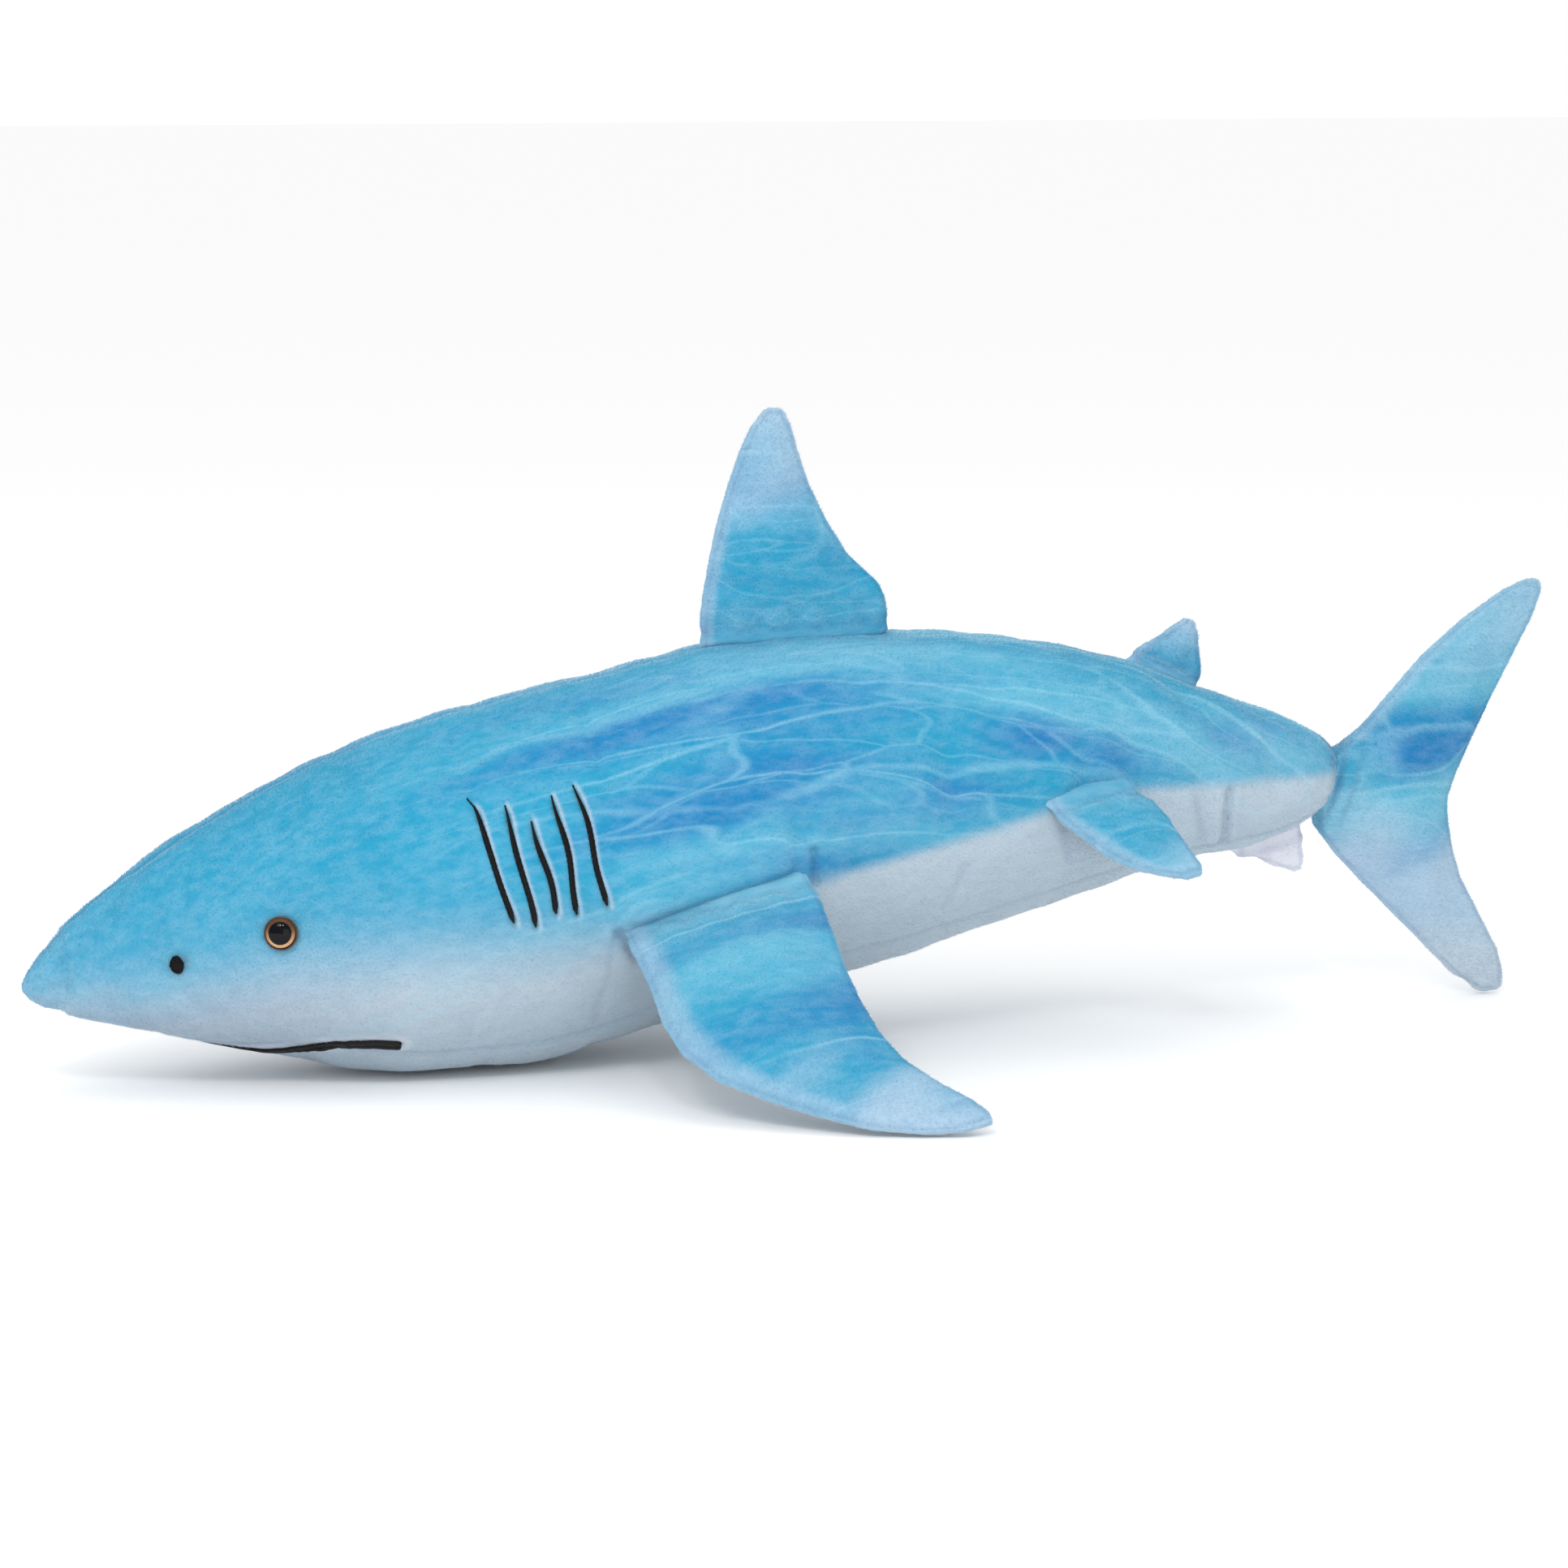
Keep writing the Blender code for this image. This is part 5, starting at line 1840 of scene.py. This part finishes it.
    def join(self, piece: Object) -> None:
        """Bakes the place of a piece of the cover into its mesh."""
        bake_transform(piece)


@dataclass
class TailSkin(FinSkin):
    """The tail: two lobes whose rings lie level, one above another, and a neck drawn into the body's end.

    Attributes:
        neck: The heights of the neck's lower and upper end.
    """

    neck: tuple[float, float] = (0.112, 0.184)

    def __post_init__(self) -> None:
        """Measures the tail by its height."""
        self.shell = CadShell(self.panels)
        self.root = np.array([0.0, 0.0, 0.0])
        self.chord, self.out = np.array([1.0, 0, 0]), np.array([0, 0, 1.0])
        self.across = np.array([0, -1.0, 0])
        self.measure()

    def shares(self) -> Array:
        """The rings' shares of the tail's height, closer together at both tips."""
        share = (1 - np.cos(np.linspace(0, math.pi, self.levels))) / 2
        return 0.45 * share + 0.55 * np.linspace(0, 1, self.levels)

    def ease_outline(self) -> None:
        """Lets the neck reach forward into the body."""
        within = bell(self.heights - sum(self.neck) / 2, 0.40 * (self.neck[1] - self.neck[0])) ** 1.5
        self.fronts = self.fronts - self.sunk * within

    def keep_root_full(self, face: Array, profile: Array) -> None:
        """Keeps the neck thick right up to where it goes into the body."""
        within = bell(self.heights - sum(self.neck) / 2, 0.42 * (self.neck[1] - self.neck[0]))
        share = np.linspace(0, 1, face.shape[1])
        full = 0.0200 * np.clip(1 - share, 0, 1) ** 0.7 * (1 - np.exp(-share / 0.02))
        face[:] = np.maximum(face, within[:, None] * full[None])

    def cut(self) -> Object:
        """The cover before it is stuffed."""
        rings = self.rings()
        ends = (rings[0].mean(0) - 0.0005 * self.out, rings[-1].mean(0) + 0.0005 * self.out)
        return sleeve(f"{self.name}_cut", rings, ends)

    def edge_distance(self, places: Array) -> Array:
        """The distance of each place from the nearer hem, also at the lower tip."""
        return np.maximum(np.minimum(super().edge_distance(places), places[:, 1] - self.first), 0.0)

    def neck_share(self, places: Array) -> Array:
        """1 in the neck, falling to 0 in the lobes."""
        return bell(places[:, 1] - sum(self.neck) / 2, 0.034) * smooth_ramp(places[:, 0], 0.385, 0.350)

    def sewn(self, cover: Object) -> Array:
        """Where the hem and the neck hold the cover while it is stuffed."""
        places = self.local(points_of(cover.data))
        return np.clip(np.maximum(bell(self.edge_distance(places), 0.0022), self.neck_share(places)), 0, 1)

    def tint(self, places: Array) -> Array:
        """Blue in the middle and the upper lobe, lavender at its tip and pale at the lower one, with painted sheen
        along the leading edge.
        """
        wander = 0.012 * np.sin(places[:, 0] * 70 + 3 * np.sin(places[:, 1] * 40))
        up = 0.60 * smooth_ramp(places[:, 1] + wander, 0.19, 0.275)
        down = smooth_ramp(places[:, 1] + wander, 0.150, 0.080)
        front = np.interp(places[:, 1], self.heights, self.fronts)
        # Painted sheen: a pale band along the rounded leading edge.
        edge_sheen = 0.5 * smooth_ramp(places[:, 0] - front, 0.016, 0.004) * (1 - self.neck_share(places))
        return np.clip(np.maximum(np.maximum(up, down), edge_sheen), 0, 1)

    def creases(self, places: Array) -> Array:
        """The gathers of the neck, which shape the cover and set the painted shade in them: a deep one where it
        leaves the body and a lighter one behind it.
        """
        behind = places[:, 0] - 0.352 - 0.30 * (places[:, 1] - 0.148)
        window = bell(places[:, 1] - 0.146, 0.030)
        return window * (bell(behind, 0.0030) + 0.45 * bell(behind - 0.0130, 0.0022))

    def blueness(self, places: Array) -> Array:
        """The lower lobe runs out into the belly's pale colour."""
        return 2.0 - 2.6 * smooth_ramp(places[:, 1], 0.110, 0.010)

    def depth(self, places: Array) -> Array:
        """Where the print is deep blue: in the middle and the upper lobe."""
        middle = 0.8 * bell(places[:, 1] - 0.165, 0.030) * smooth_ramp(places[:, 0], 0.36, 0.40)
        return middle + 0.5 * smooth_ramp(places[:, 1], 0.225, 0.290)

    def nap_direction(self) -> Array:
        """The way the pile is brushed: back."""
        return self.chord

    def join(self, piece: Object) -> None:
        """Reads the neck's joint, and bakes the place of a piece of the tail's cover into its mesh."""
        place, axis = joint(self.hinge)
        back = np.cross([0, 1.0, 0], axis)
        back *= np.sign(back[0])
        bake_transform(piece)


# ---------------------------------------------------------------- pile


@dataclass
class Pile:
    """The velour's short fibres, brushed one way.

    Attributes:
        length: The longest fibre, in metres.
        thickness: A fibre's radius at its root.
        upright: How far fibres stand up from the nap, as a share of their lean.
        stray: How far each one strays from that.
        seed: The seed of their places.
    """

    length: float = 0.0021
    thickness: float = 0.00014
    upright: float = 0.62
    stray: float = 0.35
    seed: int = 11

    def __post_init__(self) -> None:
        """Builds the tree of nodes once."""
        self.tree = self.build_tree()

    def build_tree(self) -> NodeTree:
        """Fibres scattered over a cover, leaning along its nap."""
        tree, sheet, given, result = open_group(
            "PlushPile",
            {
                "Cover": GEOMETRY,
                "Fibres for each square metre": FLOAT,
                "Length": FLOAT,
                "Thickness": FLOAT,
                "Seed": WHOLE,
                "Finish": MATERIAL,
            },
            {"Pile": GEOMETRY},
            "GeometryNodeTree",
        )
        bare = sheet.add("GeometryNodeInputNamedAttribute", {"Name": "bare"}, data_type="FLOAT").outputs[0]
        covered = sheet.math("SUBTRACT", 1.0, bare)
        dense = sheet.math("MULTIPLY", given.outputs["Fibres for each square metre"], covered)
        scatter = sheet.add(
            "GeometryNodeDistributePointsOnFaces",
            {"Mesh": given.outputs["Cover"], "Density": dense, "Seed": given.outputs["Seed"]},
        )
        fibre = sheet.add(
            "GeometryNodeMeshCone",
            {
                "Vertices": 3,
                "Side Segments": 1,
                "Radius Top": 0.0,
                "Radius Bottom": given.outputs["Thickness"],
                "Depth": given.outputs["Length"],
            },
            fill_type="NGON",
        )
        position = sheet.add("GeometryNodeInputPosition").outputs[0]
        height = sheet.add("ShaderNodeSeparateXYZ", {0: position}).outputs[2]
        tip = sheet.math("DIVIDE", height, given.outputs["Length"])
        tagged = sheet.add(
            "GeometryNodeStoreNamedAttribute",
            {"Geometry": fibre.outputs["Mesh"], "Name": "tip", "Value": tip},
            data_type="FLOAT",
            domain="POINT",
        )
        nap = sheet.add("GeometryNodeInputNamedAttribute", {"Name": "nap"}, data_type="FLOAT_VECTOR").outputs[0]
        spread = {0: (-self.stray,) * 3, 1: (self.stray,) * 3, "Seed": 5}
        stray = sheet.add("FunctionNodeRandomValue", spread, data_type="FLOAT_VECTOR")
        upright = sheet.vector("MULTIPLY", scatter.outputs["Normal"], (self.upright,) * 3)
        lean = sheet.vector("ADD", sheet.vector("ADD", upright, nap), stray.outputs[0])
        turn = sheet.add("FunctionNodeAlignRotationToVector", {"Vector": lean}, axis="Z")
        size = sheet.add("FunctionNodeRandomValue", {2: 0.55, 3: 1.0, "Seed": 8}, data_type="FLOAT")
        placed = sheet.add(
            "GeometryNodeInstanceOnPoints",
            {
                "Points": scatter.outputs["Points"],
                "Instance": tagged.outputs["Geometry"],
                "Rotation": turn.outputs[0],
                "Scale": size.outputs[1],
            },
        )
        real = sheet.add("GeometryNodeRealizeInstances", {"Geometry": placed.outputs[0]})
        dressing = {"Geometry": real.outputs[0], "Material": given.outputs["Finish"]}
        dressed = sheet.add("GeometryNodeSetMaterial", dressing)
        sheet.fill(result, {"Pile": dressed.outputs[0]})
        return tree

    def grow(self, cover: Object, name: str, fibres: int, finish: Material) -> Object:
        """Grows pile on a cover.

        Args:
            cover: The finished cover, or a part of it, with its stored print.
            name: The pile's name.
            fibres: About how many fibres to grow.
            finish: The pile's material.

        Returns:
            The pile as a plain mesh object.
        """
        area = sum(face.area for face in cover.data.polygons)
        source = link(bpy.data.objects.new(f"{name}_source", cover.data.copy()))
        grown = source.modifiers.new("Pile", "NODES")
        grown.node_group = self.tree
        set_inputs(
            grown,
            {
                "Fibres for each square metre": fibres / area,
                "Length": self.length,
                "Thickness": self.thickness,
                "Seed": self.seed,
                "Finish": finish,
            },
        )
        return baked(source, name)


# ---------------------------------------------------------------- studio


@dataclass
class Studio:
    """A pale floor, soft lights and the camera.

    Attributes:
        eye: The camera's place.
        target: The point it looks at.
        lens: Its focal length in millimetres, on a 36 mm sensor.
        floor_width: The width of the floor.
    """

    eye: Point = (-0.9268, -2.7871, 0.6286)
    target: Point = (-0.0213, 0.0, 0.1644)
    lens: float = 108.8
    floor_width: float = 60.0

    def build(self) -> None:
        """Builds all of it."""
        self.build_floor()
        self.build_camera()
        self.build_world()
        white = (1.0, 1.0, 1.0)
        self.build_light("key", (-1.7, -1.9, 2.3), 1.1, 14.0, (1.0, 0.985, 0.96))
        self.build_light("fill", (-0.1, -2.7, 0.35), 1.6, 11.0, (0.93, 0.97, 1.0))
        self.build_light("left_box", (-1.10, -1.45, 1.55), 0.26, 4.0, white)
        self.build_light("right_box", (-0.62, -1.62, 1.55), 0.26, 4.8, white)
        self.build_light("top", (0.2, 0.5, 2.6), 2.4, 8.0, white)
        bpy.context.scene.view_settings.view_transform = "Standard"

    def build_floor(self) -> None:
        """A wide pale floor at the height the shark rests on."""
        half = self.floor_width / 2
        corners = [(-half, -half, 0), (half, -half, 0), (half, half, 0), (-half, half, 0)]
        mesh = bpy.data.meshes.new("studio_floor")
        mesh.from_pydata(corners, [], [(0, 1, 2, 3)])
        floor = link(bpy.data.objects.new("studio_floor", mesh))
        material, sheet, shader = new_finish("studio_floor_paper")
        grain = sheet.noise(sheet.place(), 60.0, 2.0).outputs["Fac"]
        paper = sheet.mix(grain, (0.95, 0.95, 0.95), (0.97, 0.97, 0.97))
        sheet.fill(shader, {"Base Color": paper, "Roughness": 0.9, "Specular IOR Level": 0.0})
        mesh.materials.append(material)

    def build_camera(self) -> None:
        """The camera, level and aimed at the middle of the shark."""
        camera = bpy.data.cameras.new("camera")
        camera.lens = self.lens
        camera.sensor_width = 36.0
        bpy.context.scene.camera = self.aimed("camera", camera, self.eye)

    def aimed(self, name: str, data: bpy.types.ID, place: Point) -> Object:
        """The object of a lamp or a camera, put in its place and aimed at the shark."""
        placed = link(bpy.data.objects.new(name, data))
        placed.location = place
        aim = Vector(self.target) - Vector(place)
        placed.rotation_euler = aim.to_track_quat("-Z", "Y").to_euler()
        return placed

    def build_world(self) -> None:
        """An even pale surrounding, dark in reflections like a studio behind the camera."""
        world = bpy.data.worlds.new("studio")
        world.use_nodes = True
        sheet = Sheet(world.node_tree)
        background = world.node_tree.nodes["Background"]
        glossy = sheet.add("ShaderNodeLightPath").outputs["Is Glossy Ray"]
        strength = sheet.math("SUBTRACT", 1.0, sheet.times(glossy, 0.88))
        sheet.fill(background, {"Color": (1.0, 1.0, 1.0, 1.0), "Strength": strength})
        bpy.context.scene.world = world

    def build_light(self, name: str, place: Point, size: float, power: float, colour: Colour) -> None:
        """A square soft light aimed at the shark.

        Args:
            name: The light's name.
            place: Where it stands.
            size: The length of its sides.
            power: Its power in watts.
            colour: Its colour.
        """
        lamp = bpy.data.lights.new(name, "AREA")
        lamp.energy = power
        lamp.size = size
        lamp.color = colour
        self.aimed(name, lamp, place)


# ---------------------------------------------------------------- the shark


def fin_list() -> list[FinSkin]:
    """The shark's nine fins, as eight flat ones and the tail."""
    fins = [
        FinSkin(
            "dorsal_fin",
            "front_body",
            "dorsal_flop",
            ("dorsal_fin_left_panel", "dorsal_fin_right_panel"),
            FinDye(fade=(0.30, 1.0), tip_tint=0.85, root_tint=0.1, lead_band=0.008, lively=0.8, deep=0.15),
            full_root=0.024,
            sunk=0.014,
            fibres=16000,
        ),
        FinSkin(
            "second_dorsal_fin",
            "rear_body",
            "second_dorsal_flop",
            ("second_dorsal_fin_left_panel", "second_dorsal_fin_right_panel"),
            FinDye(fade=(0.05, 0.9), tip_tint=0.80, root_tint=0.25, lead_band=0.006, lively=0.5),
            levels=22,
            ring_points=36,
            full_root=0.012,
            sunk=0.012,
            flare=0.0012,
            flare_reach=0.0050,
            bend=0.014,
            pad_cap=0.0010,
            tip_round=0.0055,
            fibres=2600,
        ),
        FinSkin(
            "anal_fin",
            "rear_body",
            "anal_flop",
            ("anal_fin_left_panel", "anal_fin_right_panel"),
            FinDye(white=True, lively=0.2),
            levels=20,
            ring_points=36,
            full_root=0.009,
            sunk=0.016,
            flare=0.0010,
            flare_reach=0.0060,
            bend=0.012,
            pad_cap=0.0008,
            tip_round=0.0045,
            fibres=1600,
        ),
    ]
    for side in Side:
        fins.append(
            FinSkin(
                f"pectoral_fin_{side.word}",
                "front_body",
                f"pectoral_flap_{side.word}",
                tuple(f"pectoral_fin_{side.word}_{face}_panel" for face in ("upper", "lower")),
                FinDye(
                    white_below=True,
                    fade=(0.60, 1.0),
                    tip_tint=0.9,
                    root_tint=0.12,
                    lead_band=0.016,
                    lively=0.95,
                    deep=0.4,
                ),
                levels=56,
                full_root=0.022,
                sunk=0.030,
                tip_round=0.0,
                shoulder=0.0100,
                root_share=0.55,
                flare=0.0005,
                flare_reach=0.0150,
                flare_below=0.35,
                bend=0.030,
                fibres=26000,
            )
        )
        fins.append(
            FinSkin(
                f"pelvic_fin_{side.word}",
                "rear_body",
                f"pelvic_flap_{side.word}",
                tuple(f"pelvic_fin_{side.word}_{face}_panel" for face in ("upper", "lower")),
                FinDye(
                    white_below=True,
                    fade=(0.45, 1.1),
                    tip_tint=0.75,
                    root_tint=0.15,
                    lead_band=0.010,
                    lively=0.8,
                ),
                levels=30,
                ring_points=44,
                full_root=0.014,
                sunk=0.020,
                shoulder=0.0050,
                root_share=0.60,
                flare=0.0005,
                flare_reach=0.0100,
                flare_below=0.4,
                bend=0.018,
                pad_cap=0.0014,
                tip_round=0.0,
                fibres=5000,
            )
        )
    fins.append(
        TailSkin(
            "tail_fin",
            "rear_body",
            "tail_swing",
            ("tail_fin_left_panel", "tail_fin_right_panel"),
            FinDye(lively=0.8),
            levels=84,
            flare=0.0,
            sunk_rings=0,
            fibres=30000,
        )
    )
    return fins


def build_covers(body: BodySkin, fins: list[FinSkin]) -> dict[str, Object]:
    """Cuts, stuffs and shapes all covers.

    Args:
        body: The body's cover.
        fins: The fins.

    Returns:
        The finished covers, by the name of their body, and the body's under "body".
    """
    padding = Padding()
    cut = {"body": body.cut()}
    padding.add(cut["body"], body.sewn(cut["body"]), body.pad_cap, body.ring_points)
    for fin in fins:
        cut[fin.name] = fin.cut()
        padding.add(cut[fin.name], fin.sewn(cut[fin.name]), fin.pad_cap, fin.ring_points)
    padding.inflate()
    covers = {name: subdivided(cover, f"{name}_cover") for name, cover in cut.items()}
    for part, name in [(body, "body"), *((fin, fin.name) for fin in fins)]:
        part.finish_shape(covers[name])
        part.store_print(covers[name])
    return covers


def dress_node(name: str, finish: Material) -> None:
    """Gives a CAD node that stays in place its finish."""
    materials = frame["nodes"][name].data.materials
    materials.clear()
    materials.append(finish)


def main() -> None:
    """Builds the shark's covers, pile, embroidery and eyes, and the studio round it."""
    logging.basicConfig(level=logging.INFO, format="%(name)s: %(message)s")
    Studio().build()
    effects = FabricEffects()
    velour = SharkPrint()
    cloth, fibre = velour.skin(effects), velour.pile(effects)
    head = BodyLine()
    eyes = [Eye(side) for side in Side]
    stitching: list[Stitching] = [Gill(side, number) for side in Side for number in range(1, 6)]
    stitching += [Mouth(body=head), *(Nostril(side) for side in Side)]
    fins = fin_list()
    body = BodySkin(eyes, stitching, fins)
    covers = build_covers(body, fins)
    ground, stitches, thread = Ground(covers["body"]), StitchTree(), ThreadFinish().material()
    for work in stitching:
        work.sew(ground, stitches, thread)
    lens, cup, washer = EyeFinish().material(), CUP_PLASTIC.material(), WASHER_PLASTIC.material()
    for eye in eyes:
        eye.build(lens, cup)
        dress_node(f"eye_washer_{eye.side.word}", washer)
    pile = Pile()
    bounds = np.linspace(body.nose - 0.01, body.end + 0.01, body.pile_parts + 1)
    for number, (low, high) in enumerate(zip(bounds[:-1], bounds[1:]), start=1):
        part = part_of(covers["body"], low, high)
        grown = pile.grow(part, f"body_pile_{number}", body.fibres // body.pile_parts, fibre)
        bpy.data.objects.remove(part)
        body.join(grown)
    covers["body"].data.materials.append(cloth)
    body.join(covers["body"])
    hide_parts(*body.nodes, "stuffing_front", "stuffing_rear")
    for fin in fins:
        cover = covers[fin.name]
        grown = pile.grow(cover, f"{fin.name}_pile", fin.fibres, fibre)
        cover.data.materials.append(cloth)
        for piece in (cover, grown):
            fin.join(piece)
        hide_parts(*fin.panels, f"{fin.name}_stuffing")


if __name__ == "__main__":
    main()
